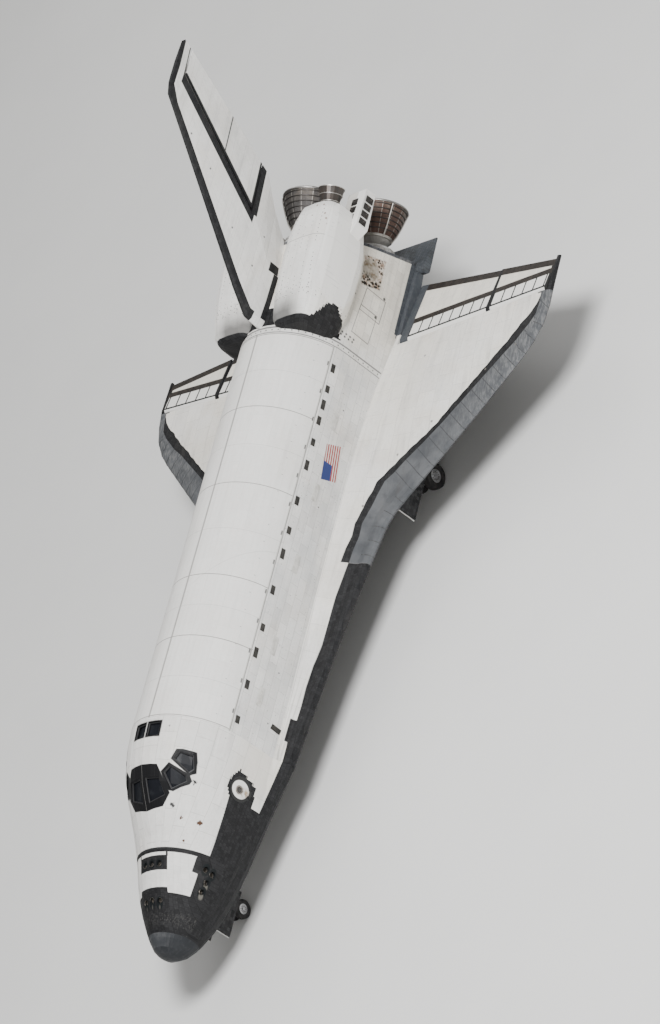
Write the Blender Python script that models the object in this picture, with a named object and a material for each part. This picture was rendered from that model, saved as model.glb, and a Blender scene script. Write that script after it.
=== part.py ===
"""Winged orbiter that lands on a runway, parked on its landing gear.

Every place is given in the airframe's own terms, in metres: aft is the distance behind the nose tip,
half is the distance to port of the centreline, and up is the height above the flat belly.
The airframe hangs under one empty, which tips it nose-down onto its wheels, as it parks.
"""

import math

import bmesh
import bpy
from mathutils import Matrix, Vector

# driving dimensions
PARK_PITCH = math.radians(3.5)      # nose-down when it stands on its wheels
MAIN_AXLE_AFT = 23.72
NOSE_AXLE_AFT = 3.53
BODY_HALF = 2.667                   # half the width of the middle body
ARCH_UP = 3.302                     # centre of the round top of the body
BAY_FRONT = 8.738                   # front and back of the payload bay doors
BAY_BACK = 27.026
BAY_RADIUS = 2.286
BAY_CENTRE_UP = 3.378
SILL_UP = 3.886
WING_HALF = 11.896
HINGE_AFT = 29.185                  # straight elevon hinge line
FIN_TOP = 13.937
FIN_TIP_BACK = 37.236               # overall length
TAIL_SLOPE = 0.4932                 # lean of the fin's back edge

GAP = 0.0003                        # between pieces that rest on each other
SEAT = 0.0005                       # between moving pieces and what carries them
CLEAR = 0.006                       # between moving pieces and their neighbours

WHITE = ("thermal_white", (0.80, 0.80, 0.77), 0.75, 0.0)
BLACK = ("thermal_black", (0.035, 0.035, 0.04), 0.70, 0.0)
GREY = ("carbon_grey", (0.25, 0.26, 0.27), 0.55, 0.0)
METAL = ("dark_metal", (0.20, 0.17, 0.16), 0.40, 0.8)
SILVER = ("silver_metal", (0.60, 0.60, 0.60), 0.35, 0.9)
RUBBER = ("tyre_rubber", (0.03, 0.03, 0.03), 0.80, 0.0)
GLASS = ("window_glass", (0.03, 0.035, 0.05), 0.10, 0.0)
RADIATOR = ("radiator_silver", (0.75, 0.76, 0.78), 0.20, 0.6)

for old in list(bpy.data.objects):
    bpy.data.objects.remove(old)
airframe = bpy.data.objects.new("airframe_parked", None)
bpy.context.scene.collection.objects.link(airframe)


def at(aft, half, up):
    """A place on the airframe, with the nose towards +X, port towards +Y."""
    return Vector((-aft, half, up))


def paint(finish):
    name, colour, roughness, metallic = finish
    material = bpy.data.materials.get(name)
    if material is None:
        material = bpy.data.materials.new(name)
        material.use_nodes = True
        shader = material.node_tree.nodes["Principled BSDF"]
        shader.inputs["Base Color"].default_value = (*colour, 1.0)
        shader.inputs["Roughness"].default_value = roughness
        shader.inputs["Metallic"].default_value = metallic
    return material


def solid(name, shape, finish, pivot=(0, 0, 0)):
    """Turns a bmesh into one named piece of the airframe, with its origin at pivot."""
    origin = at(*pivot)
    bmesh.ops.recalc_face_normals(shape, faces=shape.faces)
    bmesh.ops.translate(shape, verts=shape.verts, vec=-origin)
    mesh = bpy.data.meshes.new(name)
    shape.to_mesh(mesh)
    shape.free()
    mesh.materials.append(paint(finish))
    mesh.shade_smooth()
    mesh.set_sharp_from_angle(angle=math.radians(30))
    piece = bpy.data.objects.new(name, mesh)
    bpy.context.scene.collection.objects.link(piece)
    piece.parent = airframe
    piece.location = origin
    return piece


def tool(name, shape):
    """A cutter or a shape to be joined, which isn't a piece itself."""
    piece = solid(name, shape, GREY)
    piece.hide_render = True
    piece.display_type = "WIRE"
    return piece


def boolean(piece, other, operation):
    step = piece.modifiers.new(operation.lower(), "BOOLEAN")
    step.object = other
    step.operation = operation
    step.solver = "EXACT"


def cut(piece, *others):
    for other in others:
        boolean(piece, other, "DIFFERENCE")


def join(piece, *others):
    for other in others:
        boolean(piece, other, "UNION")


def loft(rings, closed_tip=None):
    """Skins rings of equal length; closed_tip replaces the first cap by one point."""
    shape = bmesh.new()
    rows = [[shape.verts.new(p) for p in ring] for ring in rings]
    for first, second in zip(rows, rows[1:]):
        count = len(first)
        for i in range(count):
            j = (i + 1) % count
            shape.faces.new((first[i], first[j], second[j]))
            shape.faces.new((first[i], second[j], second[i]))
    if closed_tip is None:
        shape.faces.new(rows[0])
    else:
        tip = shape.verts.new(closed_tip)
        for i, corner in enumerate(rows[0]):
            shape.faces.new((corner, rows[0][(i + 1) % len(rows[0])], tip))
    shape.faces.new(rows[-1])
    return shape


def box(low, high):
    """A block between two corners given as (aft, half, up)."""
    a, b = at(*low), at(*high)
    shape = bmesh.new()
    centre = (a + b) / 2
    size = [abs(b[i] - a[i]) for i in range(3)]
    matrix = Matrix.Translation(centre) @ Matrix.Diagonal((*size, 1.0))
    bmesh.ops.create_cube(shape, size=1.0, matrix=matrix)
    return shape


def rod(start, end, radius, end_radius=None, sides=16):
    """A round bar between two places."""
    a, b = at(*start), at(*end)
    line = b - a
    turn = line.to_track_quat("Z", "Y").to_matrix().to_4x4()
    shape = bmesh.new()
    bmesh.ops.create_cone(
        shape,
        cap_ends=True,
        segments=sides,
        radius1=radius,
        radius2=radius if end_radius is None else end_radius,
        depth=line.length,
        matrix=Matrix.Translation((a + b) / 2) @ turn,
    )
    return shape


def turned(profile, origin, axis, sides=24, flat_to=Vector((0, 0, -1))):
    """Spins a closed profile of (along, radius) about an axis. A radius of 0 closes the end.

    The middle of one facet points towards flat_to.
    """
    along = axis.normalized()
    first = (flat_to - along * flat_to.dot(along)).normalized()
    turn = Matrix((first, along.cross(first), along)).transposed().to_4x4()
    place = Matrix.Translation(origin) @ turn
    shape = bmesh.new()
    rows = []
    for height, radius in profile:
        if radius == 0:
            rows.append([shape.verts.new(place @ Vector((0, 0, height)))] * sides)
            continue
        rows.append(
            [
                shape.verts.new(
                    place
                    @ Vector(
                        (
                            radius * math.cos(math.pi * (2 * i + 1) / sides),
                            radius * math.sin(math.pi * (2 * i + 1) / sides),
                            height,
                        )
                    )
                )
                for i in range(sides)
            ]
        )
    pairs = list(zip(rows, rows[1:]))
    if profile[0][1] and profile[-1][1]:
        pairs.append((rows[-1], rows[0]))
    for first, second in pairs:
        for i in range(sides):
            j = (i + 1) % sides
            corners = []
            for corner in (first[i], first[j], second[j], second[i]):
                if corner not in corners:
                    corners.append(corner)
            shape.faces.new(corners)
    return shape


def between(table, aft, column):
    """Value of a table's column at a distance aft, on straight lines between its rows."""
    if aft <= table[0][0]:
        return table[0][column]
    for low, high in zip(table, table[1:]):
        if aft <= high[0]:
            share = (aft - low[0]) / (high[0] - low[0])
            return low[column] + share * (high[column] - low[column])
    return table[-1][column]


def belly(aft):
    """Height of the flat belly, which rises towards the tail."""
    rise_from, rise_to, rise = 23.5, 32.868, 0.508
    return rise * max(0.0, (aft - rise_from) / (rise_to - rise_from)) ** 2


def arch(half, centre_up, top, first_angle, steps, inset=0.0):
    """Points of the round top, from a low angle on the port side up to the crest."""
    points = []
    for i in range(steps + 1):
        angle = first_angle + (math.pi / 2 - first_angle) * i / steps
        points.append(
            (
                (half - inset) * math.cos(angle),
                centre_up + (top - centre_up - inset) * math.sin(angle),
            )
        )
    return points


# forward body: aft, bottom, edge_half, edge_up, crease_half, crease_up, side_half, side_up, top
NOSE_CAP = [
    (0.03, 1.66, 0.20, 1.84, 0.20, 1.85, 0.20, 1.86, 2.06),
    (0.12, 1.43, 0.42, 1.82, 0.42, 1.84, 0.42, 1.86, 2.27),
    (0.30, 1.20, 0.67, 1.78, 0.67, 1.81, 0.67, 1.85, 2.47),
    (0.61, 1.00, 0.92, 1.72, 0.92, 1.77, 0.91, 1.85, 2.69),
    (0.94, 0.85, 1.11, 1.66, 1.12, 1.73, 1.12, 1.84, 2.89),
]
FORWARD_BODY = [
    (0.94, 0.85, 1.11, 1.66, 1.12, 1.73, 1.12, 1.84, 2.89),
    (1.58, 0.62, 1.42, 1.54, 1.45, 1.63, 1.45, 1.84, 3.24),
    (2.21, 0.45, 1.66, 1.44, 1.71, 1.56, 1.71, 1.86, 3.53),
    (2.85, 0.34, 1.82, 1.35, 1.90, 1.50, 1.91, 1.92, 3.77),
    (3.60, 0.25, 1.98, 1.25, 2.08, 1.45, 2.08, 2.00, 4.01),
    (4.30, 0.19, 2.10, 1.17, 2.20, 1.42, 2.21, 2.12, 4.31),
    (4.90, 0.15, 2.20, 1.12, 2.30, 1.41, 2.30, 2.25, 4.67),
    (5.50, 0.12, 2.32, 1.07, 2.39, 1.41, 2.38, 2.45, 5.05),
    (6.10, 0.09, 2.44, 1.02, 2.48, 1.42, 2.45, 2.70, 5.41),
    (6.90, 0.05, 2.60, 0.95, 2.57, 1.44, 2.54, 3.00, 5.74),
    (7.80, 0.02, 2.80, 0.85, 2.64, 1.47, 2.62, 3.22, 5.91),
    (BAY_FRONT, 0.00, 3.02, 0.74, 2.668, 1.48, 2.667, 3.302, 5.969),
]
CORNER_LIFT = 0.284                 # the round lower edge at the front of the bay
CORNER_BACK = 13.5                  # and where it has run out into a square corner


def corner(aft):
    """Share that is left of the forward body's round lower corner, never quite none."""
    return max(0.04, (CORNER_BACK - aft) / (CORNER_BACK - BAY_FRONT))


def forward_ring(row):
    """One section of the forward body: flat bottom, round edge, crease, side and arch."""
    aft, bottom, edge_half, edge_up, crease_half, crease_up, side_half, side_up, top = row
    edge_reach = 0.55 * edge_half
    outline = [(0.0, bottom), (0.5 * (edge_half - edge_reach), bottom)]
    for i in range(5):
        angle = -math.pi / 2 + math.pi / 2 * i / 4
        outline.append(
            (
                edge_half - edge_reach + edge_reach * math.cos(angle),
                edge_up + (edge_up - bottom) * math.sin(angle),
            )
        )
    outline.append((0.4 * edge_half + 0.6 * crease_half, 0.45 * edge_up + 0.55 * crease_up))
    outline.append((crease_half, crease_up))
    outline += arch(side_half, side_up, top, 0.0, 9)
    port = [at(aft, half, up) for half, up in outline]
    starboard = [at(aft, -half, up) for half, up in reversed(outline[1:-1])]
    return port + starboard


def cabin_void_ring(aft, inset, floor_up):
    """Inside of the crew cabin: the outer section taken in by the wall's thickness."""
    side_half = between(FORWARD_BODY, aft, 6)
    side_up = max(between(FORWARD_BODY, aft, 7), floor_up + 0.1)
    top = between(FORWARD_BODY, aft, 8)
    outline = [(0.0, floor_up), (side_half - inset, floor_up)]
    outline += arch(side_half, side_up, top, 0.0, 9, inset)
    port = [at(aft, half, up) for half, up in outline]
    starboard = [at(aft, -half, up) for half, up in reversed(outline[1:-1])]
    return port + starboard


NOSE_TIP_UP = 1.85
WALL = 0.15
CABIN_FRONT = 5.05
CABIN_BACK = 8.56
MIDDECK_UP = 1.35
FLIGHT_DECK_UP = 3.30
NOSE_WELL_HALF = 0.525
NOSE_WELL_ROOF = 1.45
MODULE_BACK = 3.75
MODULE_UP = 1.95

# corners of each port window as (aft, half, up), roughly on the skin, front lower one first
WINDOWS = {
    "front": [(5.35, 0.16, 4.95), (5.62, 0.98, 4.90), (6.25, 0.80, 5.32), (6.25, 0.15, 5.48)],
    "middle": [(5.86, 1.22, 4.86), (6.24, 1.74, 4.60), (6.42, 1.74, 4.72), (6.72, 1.26, 5.28),
               (6.44, 1.01, 5.30)],
    "side": [(6.56, 1.84, 4.69), (6.72, 1.98, 4.60), (7.26, 1.98, 4.82), (7.32, 1.54, 5.25),
             (7.00, 1.39, 5.27)],
}
OVERHEAD = [(7.90, 0.06, 5.91), (7.90, 0.68, 5.83), (8.50, 0.68, 5.86), (8.50, 0.06, 5.94)]
HATCH_CENTRE = (6.80, 2.54)         # aft, up
HATCH_RADIUS = 0.51
HATCH_HINGE = (6.80, 2.568, 2.025)
KNUCKLE = 0.035                     # radius of the hatch's hinge
PANE = 0.03


def cabin_room(inset, floor_up, longer=0.0):
    """Room inside the cabin's wall, taken in by inset, made a little longer for a cutter."""
    rows = [row[0] for row in FORWARD_BODY if CABIN_FRONT < row[0] < CABIN_BACK]
    stations = [CABIN_FRONT, *rows, CABIN_BACK]
    rings = [cabin_void_ring(a, inset, floor_up) for a in stations]
    for ring, move in ((rings[0], longer), (rings[-1], -longer)):
        for point in ring:
            point.x += move
    return loft(rings)


def hatch_plug(grow):
    """The round hatch tapers inwards, so that it swings out of its hole."""
    aft, up = HATCH_CENTRE
    taper = 0.1
    reach = 0.6
    skin_half = 2.545
    return rod((aft, skin_half - reach, up), (aft, skin_half + reach, up),
               HATCH_RADIUS + grow - taper * reach, HATCH_RADIUS + grow + taper * reach, 32)


def hatch_knuckle(grow):
    """The hinge along the hatch's lower edge, grown for the groove that it turns in."""
    aft, half, up = HATCH_HINGE
    reach = 0.15 + grow
    outside = (KNUCKLE + grow) / math.cos(math.pi / 16) if grow else KNUCKLE
    return rod((aft - reach, half, up), (aft + reach, half, up), outside)


def prism(corners, reach):
    """A block through the skin with the outline of a window."""
    points = [at(*c) for c in corners]
    normal = (points[2] - points[0]).cross(points[3] - points[1]).normalized()
    return loft([[p - normal * reach for p in points], [p + normal * reach for p in points]])


def mirrored(corners):
    return [(aft, -half, up) for aft, half, up in corners]


def forward_outer():
    return loft([forward_ring(row) for row in FORWARD_BODY])


def build_forward_body():
    cap = NOSE_CAP[:-1] + [(NOSE_CAP[-1][0] - GAP, *NOSE_CAP[-1][1:])]
    solid("nose_cap", loft([forward_ring(r) for r in cap], at(0.0, 0.0, NOSE_TIP_UP)), GREY)

    body = solid("forward_fuselage", forward_outer(), WHITE)
    void = tool("cabin_void", cabin_room(WALL, MIDDECK_UP))
    well = tool("nose_gear_well",
                box((1.95, -NOSE_WELL_HALF, -0.5), (4.05, NOSE_WELL_HALF, NOSE_WELL_ROOF)))
    module_room = tool(
        "module_room", box((0.3, -2.5, MODULE_UP - GAP), (MODULE_BACK + GAP, 2.5, 4.2))
    )
    hatch_hole = tool("hatch_hole", hatch_plug(CLEAR))
    cut(body, tool("knuckle_room", hatch_knuckle(SEAT)))
    cut(body, void, well, module_room, hatch_hole)
    for corners in (*WINDOWS.values(), OVERHEAD):
        for side in (corners, mirrored(corners)):
            cut(body, tool("window_hole", prism(side, 0.45)))

    module = solid("forward_rcs_module", forward_outer(), WHITE)
    boolean(module, tool("module_keep", box((0.3, -2.5, MODULE_UP), (MODULE_BACK, 2.5, 4.2))),
            "INTERSECT")
    # thruster mouths: aft, half, up, direction
    for aft, half, up, reach in [
        (1.86, 0.0, 3.37, (-0.6, 0, 1)), (1.84, 0.38, 3.31, (-0.6, 0.1, 1)),
        (1.84, -0.38, 3.31, (-0.6, -0.1, 1)),
        (3.24, 0.0, 3.89, (0, 0, 1)), (3.24, 0.40, 3.84, (0, 0.1, 1)),
        (3.24, -0.40, 3.84, (0, -0.1, 1)),
        (3.30, 1.87, 2.65, (0, 1, 0.25)), (3.30, -1.87, 2.65, (0, -1, 0.25)),
        (3.22, 1.95, 2.33, (0, 1, 0.1)), (3.22, -1.95, 2.33, (0, -1, 0.1)),
        (2.83, 1.83, 2.41, (0, 1, -0.1)), (2.83, -1.83, 2.41, (0, -1, -0.1)),
        (2.45, 1.69, 2.41, (0, 1, -0.1)), (2.45, -1.69, 2.41, (0, -1, -0.1)),
    ]:
        way = Vector(reach).normalized() * 0.3
        start = (aft - way.x, half - way.y, up - way.z)
        end = (aft + way.x, half + way.y, up + way.z)
        cut(module, tool("thruster_mouth", rod(start, end, 0.09, 0.13, sides=12)))

    hatch = solid("side_hatch", forward_outer(), WHITE, HATCH_HINGE)
    boolean(hatch, tool("hatch_keep", hatch_plug(0.0)), "INTERSECT")
    cut(hatch, void)
    aft, half, up = HATCH_HINGE
    strap = box((aft - 0.1, half - 0.03, up), (aft + 0.1, half + 0.02, up + 0.2))
    join(hatch, tool("hatch_knuckle", hatch_knuckle(0.0)), tool("hatch_strap", strap))

    # the panes lie against the inside of the wall, behind the window holes
    glass_room = tool("glass_room", cabin_room(WALL + PANE, MIDDECK_UP - 0.2, 0.3))
    for name, keep in (
        ("windscreen", box((CABIN_FRONT + 0.02, -2.6, 4.2), (7.55, 2.6, 5.55))),
        ("overhead_windows", box((7.75, -0.9, 5.3), (8.55, 0.9, 6.2))),
    ):
        glass = solid(name, cabin_room(WALL + GAP, MIDDECK_UP), GLASS)
        cut(glass, glass_room)
        boolean(glass, tool("glass_keep", keep), "INTERSECT")

    deck = solid("flight_deck", cabin_room(WALL + GAP, MIDDECK_UP), GREY)
    keep = tool("deck_keep", box((5.6, -3, FLIGHT_DECK_UP - 0.06), (8.3, 3, FLIGHT_DECK_UP)))
    boolean(deck, keep, "INTERSECT")
    panel = tool("instrument_panel", box((5.35, -1.2, FLIGHT_DECK_UP - 0.06), (5.7, 1.2, 4.15)))
    console = tool("centre_console", box((5.6, -0.2, FLIGHT_DECK_UP - 0.03), (6.7, 0.2, 3.62)))
    join(deck, panel, console)
    for name, half in (("commander_seat", 0.62), ("pilot_seat", -0.62)):
        seat = solid(name, box((6.35, half - 0.26, FLIGHT_DECK_UP + GAP), (6.95, half + 0.26, 3.72)),
                     GREY)
        join(seat, tool("seat_back", box((6.8, half - 0.26, 3.5), (6.98, half + 0.26, 4.62))))


def mid_ring(aft):
    """Section of the middle body: a trough with the payload bay sunk in it."""
    sill_angle = math.asin((SILL_UP - SEAT - ARCH_UP) / BODY_HALF)
    low = belly(aft)
    share = corner(aft)
    outer = [(0.0, low), (BODY_HALF - 1.0 * share, low), (BODY_HALF - 0.5 * share, low + 0.10 * share),
             (BODY_HALF, low + CORNER_LIFT * share)]
    steps = 3
    for i in range(steps + 1):
        angle = sill_angle * i / steps
        outer.append((BODY_HALF * math.cos(angle), ARCH_UP + BODY_HALF * math.sin(angle)))
    outer[-1] = (outer[-1][0], SILL_UP - SEAT)
    inner = [(BAY_RADIUS, SILL_UP - SEAT)]
    bends = 10
    for i in range(bends + 1):
        angle = math.pi / 2 * i / bends
        inner.append((BAY_RADIUS * math.cos(angle), BAY_CENTRE_UP - BAY_RADIUS * math.sin(angle)))
    inner[-1] = (0.0, BAY_CENTRE_UP - BAY_RADIUS)
    half_ring = outer + inner
    port = [at(aft, half, up) for half, up in half_ring]
    starboard = [at(aft, -half, up) for half, up in reversed(half_ring[1:-1])]
    return port + starboard


def build_mid_body():
    stations = [BAY_FRONT + GAP, CORNER_BACK, 23.5, 25.3, BAY_BACK]
    solid("mid_fuselage", loft([mid_ring(a) for a in stations]), WHITE)


DOOR_THICK = 0.11
DOOR_HINGE_HALF = 2.64
RADIATOR_THICK = 0.035


DOOR_LOW = math.asin((SILL_UP - ARCH_UP) / (BODY_HALF - DOOR_THICK))
DOOR_HIGH = math.pi / 2 - math.asin(CLEAR / 2 / (BODY_HALF - DOOR_THICK))
DOOR_BENDS = 12


def door_ring(aft, side, outer, thick, first, last):
    """Section of a payload bay door or radiator between two of the door's bends."""
    bends = [DOOR_LOW + (DOOR_HIGH - DOOR_LOW) * i / DOOR_BENDS for i in range(first, last + 1)]
    points = [(outer * math.cos(angle), ARCH_UP + outer * math.sin(angle)) for angle in bends]
    inner = outer - thick
    points += [(inner * math.cos(angle), ARCH_UP + inner * math.sin(angle))
               for angle in reversed(bends)]
    return [at(aft, side * half, up) for half, up in points]


def build_bay_doors():
    for name, side in (("left", 1), ("right", -1)):
        hinge = (BAY_FRONT, side * DOOR_HINGE_HALF, SILL_UP)
        ends = (BAY_FRONT + CLEAR, BAY_BACK - CLEAR)
        rings = [door_ring(a, side, BODY_HALF, DOOR_THICK, 0, DOOR_BENDS) for a in ends]
        solid(f"{name}_bay_door", loft(rings), WHITE, hinge)
        inner = BODY_HALF - DOOR_THICK - GAP
        ends = (BAY_FRONT + 0.35, BAY_BACK - 0.35)
        rings = [door_ring(a, side, inner, RADIATOR_THICK, 1, DOOR_BENDS - 1) for a in ends]
        solid(f"{name}_radiators", loft(rings), RADIATOR, hinge)


BASE_AFT = 32.34                    # the slanting aft face passes here
BASE_UP = 3.38
BASE_LEAN = 0.276
BASE_NORMAL = Vector((-1, 0, BASE_LEAN)).normalized()
SHIELD = 0.16                       # thickness of the heat shield on it


def aft_ring(aft, grow=0.0):
    """Section of the tail body: flat belly, upright sides and a round top."""
    outline = [(0.0, belly(aft) - grow), (BODY_HALF + grow, belly(aft) - grow)]
    outline += arch(BODY_HALF + grow, ARCH_UP, ARCH_UP + BODY_HALF + grow, 0.0, 10)
    port = [at(aft, half, up) for half, up in outline]
    starboard = [at(aft, -half, up) for half, up in reversed(outline[1:-1])]
    return port + starboard


AFT_STATIONS = [BAY_BACK + GAP, 28.5, 30.0, 31.5, 33.6]


def aft_outer(grow=0.0, base_offset=0.0):
    shape = loft([aft_ring(a, grow) for a in AFT_STATIONS])
    plane_point = at(BASE_AFT, 0, BASE_UP) + BASE_NORMAL * base_offset
    cut_away = bmesh.ops.bisect_plane(
        shape,
        geom=shape.verts[:] + shape.edges[:] + shape.faces[:],
        plane_co=plane_point,
        plane_no=BASE_NORMAL,
        clear_outer=True,
    )
    edges = [e for e in cut_away["geom_cut"] if isinstance(e, bmesh.types.BMEdge)]
    bmesh.ops.holes_fill(shape, edges=edges)
    return shape


ENGINES = {
    # name: gimbal aft, half, up, cant up in degrees, cant outboard in degrees
    "top": (30.658, 0.0, 4.470, 10.5, 0.0),
    "left": (31.242, 1.346, 1.921, 10.0, 3.5),
    "right": (31.242, -1.346, 1.921, 10.0, -3.5),
}
ENGINE_LENGTH = 3.99
ENGINE_EXIT_RADIUS = 1.19
DOME_REACH = 0.72                   # how far a dome stands off the aft face along its engine


def engine_line(row):
    aft, half, up, cant_up, cant_out = row
    pitch, yaw = math.radians(cant_up), math.radians(cant_out)
    way = Vector((-math.cos(pitch) * math.cos(yaw), math.sin(yaw) * math.cos(pitch), math.sin(pitch)))
    origin = at(aft, half, up)
    base_point = at(BASE_AFT, 0, BASE_UP)
    reach = (base_point - origin).dot(BASE_NORMAL) / way.dot(BASE_NORMAL)
    return origin, way, reach


def engine_dome(row, grow=0.0):
    """Bulge of the heat shield around an engine's throat, grown for a cutter."""
    origin, way, reach = engine_line(row)
    start, end = reach - 0.10 - grow, reach + DOME_REACH + grow
    profile = [(start, 0), (start, 1.02 + grow), (reach + 0.22, 1.02 + grow),
               (reach + 0.52, 0.86 + grow), (end, 0.55 + grow), (end, 0)]
    return turned(profile, origin, way)


def build_aft_body():
    body = solid("aft_fuselage", aft_outer(), WHITE)
    flap_room = tool("flap_room", body_flap_room())
    cut(body, flap_room)
    nose = FLAP_HINGE_AFT - FLAP_RADIUS - SEAT
    for half in (-2.2, -0.8, 0.8, 2.2):
        join(body, tool("flap_lug", box((32.4, half - 0.08, FLAP_HINGE_UP - 0.05),
                                        (nose, half + 0.08, FLAP_HINGE_UP + 0.05))))
    shield = solid("base_heat_shield", aft_outer(-0.04, SHIELD), BLACK)
    for name, row in ENGINES.items():
        join(shield, tool(f"{name}_dome", engine_dome(row)))
    cut(shield, tool("body_face", aft_outer(0.5, GAP)), flap_room)

    for name, row in ENGINES.items():
        origin, way, reach = engine_line(row)
        first = reach + DOME_REACH + GAP
        length = ENGINE_LENGTH
        outer = [
            (first, 0.30), (first + 0.12, 0.42), (first + 0.30, 0.62), (first + 0.62, 0.80),
            (first + 1.00, 0.95), (first + 1.45, 1.09), (length - 0.12, 1.17),
            (length, ENGINE_EXIT_RADIUS),
        ]
        inner = [(length, ENGINE_EXIT_RADIUS - 0.05)]
        inner += [(along, radius - 0.05) for along, radius in reversed(outer[2:7])]
        inner += [(first + 0.16, 0.24), (first + 0.05, 0.0)]
        profile = [(first, 0.0)] + outer + inner
        solid(f"main_engine_{name}", turned(profile, origin, way, 24), METAL)


# orbital manoeuvring pods: aft, centre_half, centre_up, radius_half, radius_up
POD = [
    (27.22, 1.74, 5.02, 0.78, 0.80),
    (27.32, 1.75, 5.01, 1.02, 1.05),
    (27.60, 1.78, 5.01, 1.19, 1.22),
    (28.40, 1.84, 5.05, 1.30, 1.36),
    (29.40, 1.90, 5.10, 1.36, 1.44),
    (30.60, 1.95, 5.16, 1.38, 1.47),
    (31.30, 1.99, 5.22, 1.35, 1.44),
    (32.15, 2.06, 5.34, 1.24, 1.30),
    (32.75, 2.10, 5.44, 1.08, 1.12),
]
POD_SQUARE = 0.55                   # 1 gives a pod an oval section, and less a squarer one
POD_ENGINE = (32.512, 2.235, 5.715, 15.8, 6.5)
# thruster housing on each pod: aft, inner half, outer half, low up, high up
HOUSING = [
    (31.20, 2.60, 3.05, 4.80, 5.20),
    (32.20, 2.55, 3.55, 4.55, 5.24),
    (33.95, 2.52, 3.60, 4.66, 5.20),
]


def squared(share):
    """Share of a pod's radius on a section with rounded corners."""
    return math.copysign(abs(share) ** POD_SQUARE, share)


def build_pods():
    top_dome = tool("top_dome", engine_dome(ENGINES["top"], 2 * GAP))
    for name, side in (("left", 1), ("right", -1)):
        rings = []
        for aft, centre_half, centre_up, radius_half, radius_up in POD:
            ring = []
            for i in range(20):
                angle = 2 * math.pi * i / 20
                out, rise = squared(math.cos(angle)), squared(math.sin(angle))
                ring.append(at(aft, side * (centre_half + radius_half * out),
                               centre_up + radius_up * rise))
            rings.append(ring)
        pod = solid(f"{name}_engine_pod", loft(rings), WHITE)
        join(pod, tool("thruster_housing", loft([
            [at(aft, side * half, up) for half, up in
             ((inner, low), (outer, low), (outer, high), (inner, high))]
            for aft, inner, outer, low, high in HOUSING
        ])))
        cut(pod, tool("body_seat", aft_outer(GAP, SHIELD + GAP)), top_dome)

        aft, half, up, cant_up, cant_out = POD_ENGINE
        origin, way, _ = engine_line((aft, side * half, up, cant_up, side * cant_out))
        pod_back = POD[-1][0]
        face = (at(pod_back, 0, 0) - origin).x / way.x
        profile = [
            (face - 0.20, 0.0), (face - 0.20, 0.17), (face + 0.20, 0.24), (face + 0.42, 0.38),
            (face + 0.75, 0.49), (face + 1.05, 0.56), (face + 1.05, 0.53), (face + 0.75, 0.46),
            (face + 0.42, 0.35), (face + 0.20, 0.20), (face + 0.12, 0.0),
        ]
        engine = solid(f"{name}_pod_engine", turned(profile, origin, way, 20), METAL)
        cut(engine, tool("pod_face", box((31.5, -4, 4), (pod_back + GAP, 4, 8))))


# port wing sections: aft, edge_half, root_top, edge_up, edge_reach, edge_radius
WING = [
    (BAY_FRONT + GAP, 3.02, 1.48, 0.74, 0.30, 0.36),
    (CORNER_BACK, 3.62, 1.49, 0.60, 0.50, 0.28),
    (16.0, 3.98, 1.50, 0.54, 0.50, 0.27),
    (18.6, 4.42, 1.50, 0.48, 0.50, 0.26),
    (19.8, 4.70, 1.50, 0.46, 0.60, 0.26),
    (20.4, 5.02, 1.50, 0.45, 0.75, 0.26),
    (21.0, 5.56, 1.50, 0.46, 0.90, 0.26),
    (22.5, 7.04, 1.50, 0.50, 1.05, 0.26),
    (24.5, 9.04, 1.42, 0.60, 1.10, 0.24),
    (26.3, 10.82, 1.28, 0.74, 1.00, 0.20),
    (26.9, 11.32, 1.22, 0.82, 0.80, 0.18),
    (27.6, 11.69, 1.12, 0.90, 0.50, 0.17),
    (28.4, 11.85, 1.00, 0.97, 0.35, 0.16),
    (29.2, 11.896, 0.88, 1.04, 0.25, 0.15),
    (30.9, 11.896, 0.86, 1.02, 0.08, 0.05),
    (33.0, 11.896, 0.82, 1.02, 0.08, 0.05),
]
EDGE_FRONT = 17.95                  # where the separate leading edge starts and ends
EDGE_BACK = 27.90
EDGE_STRIP = 0.46
TIP_BACK = 30.75
WELL_OUTER = 4.35
WELL_ROOF = 0.62
WELL_FRONT = 20.9
ELEVON_IN = 2.93
ELEVON_SPLIT = 8.24
ELEVON_OUT = 11.72
HINGE_UP_IN = 0.53
HINGE_RISE = math.tan(math.radians(3.5))


def hinge_up(half):
    return HINGE_UP_IN + HINGE_RISE * (half - ELEVON_IN)


def hinge_radius(half):
    """Half the wing's thickness at the elevon hinge line."""
    return 0.33 - 0.019 * (half - ELEVON_IN)


def wing_outer(side, drop=0.0):
    """The whole wing with its elevons' room still filled, lowered by drop for a cutter."""
    inner_half = BODY_HALF + GAP
    rings = [wing_ring(aft, side, inner_half, *sizes) for aft, *sizes in WING]
    for ring in rings:
        for point in ring:
            point.z -= drop
    return loft(rings)


def plan_block(outline, side, low_up=-0.5, high_up=2.5):
    """An upright block on an outline of (aft, half) in plan."""
    return loft([[at(aft, side * half, up) for aft, half in outline] for up in (low_up, high_up)])


def edge_room(side, inset):
    """Plan of the leading edge strip, from the glove round to the wing tip."""
    front, back = EDGE_FRONT + inset, EDGE_BACK - inset
    strip = EDGE_STRIP - inset
    line = [(front, between(WING, front, 1) - strip)]
    line += [(row[0], row[1] - strip) for row in WING if front < row[0] < 26.5]
    line += [(back, WING_HALF - strip), (back, WING_HALF + 0.6), (17.0, WING_HALF + 0.6), (front, 6.0)]
    return plan_block(line, side)


def cove(half):
    """Back of the wing's box just ahead of the elevon's round nose."""
    return HINGE_AFT - hinge_radius(half) - CLEAR


def square_to_hinge(half, up):
    """Half-width at a height on a plane square to the sloping elevon hinge."""
    return half - HINGE_RISE * (up - hinge_up(half))


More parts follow.
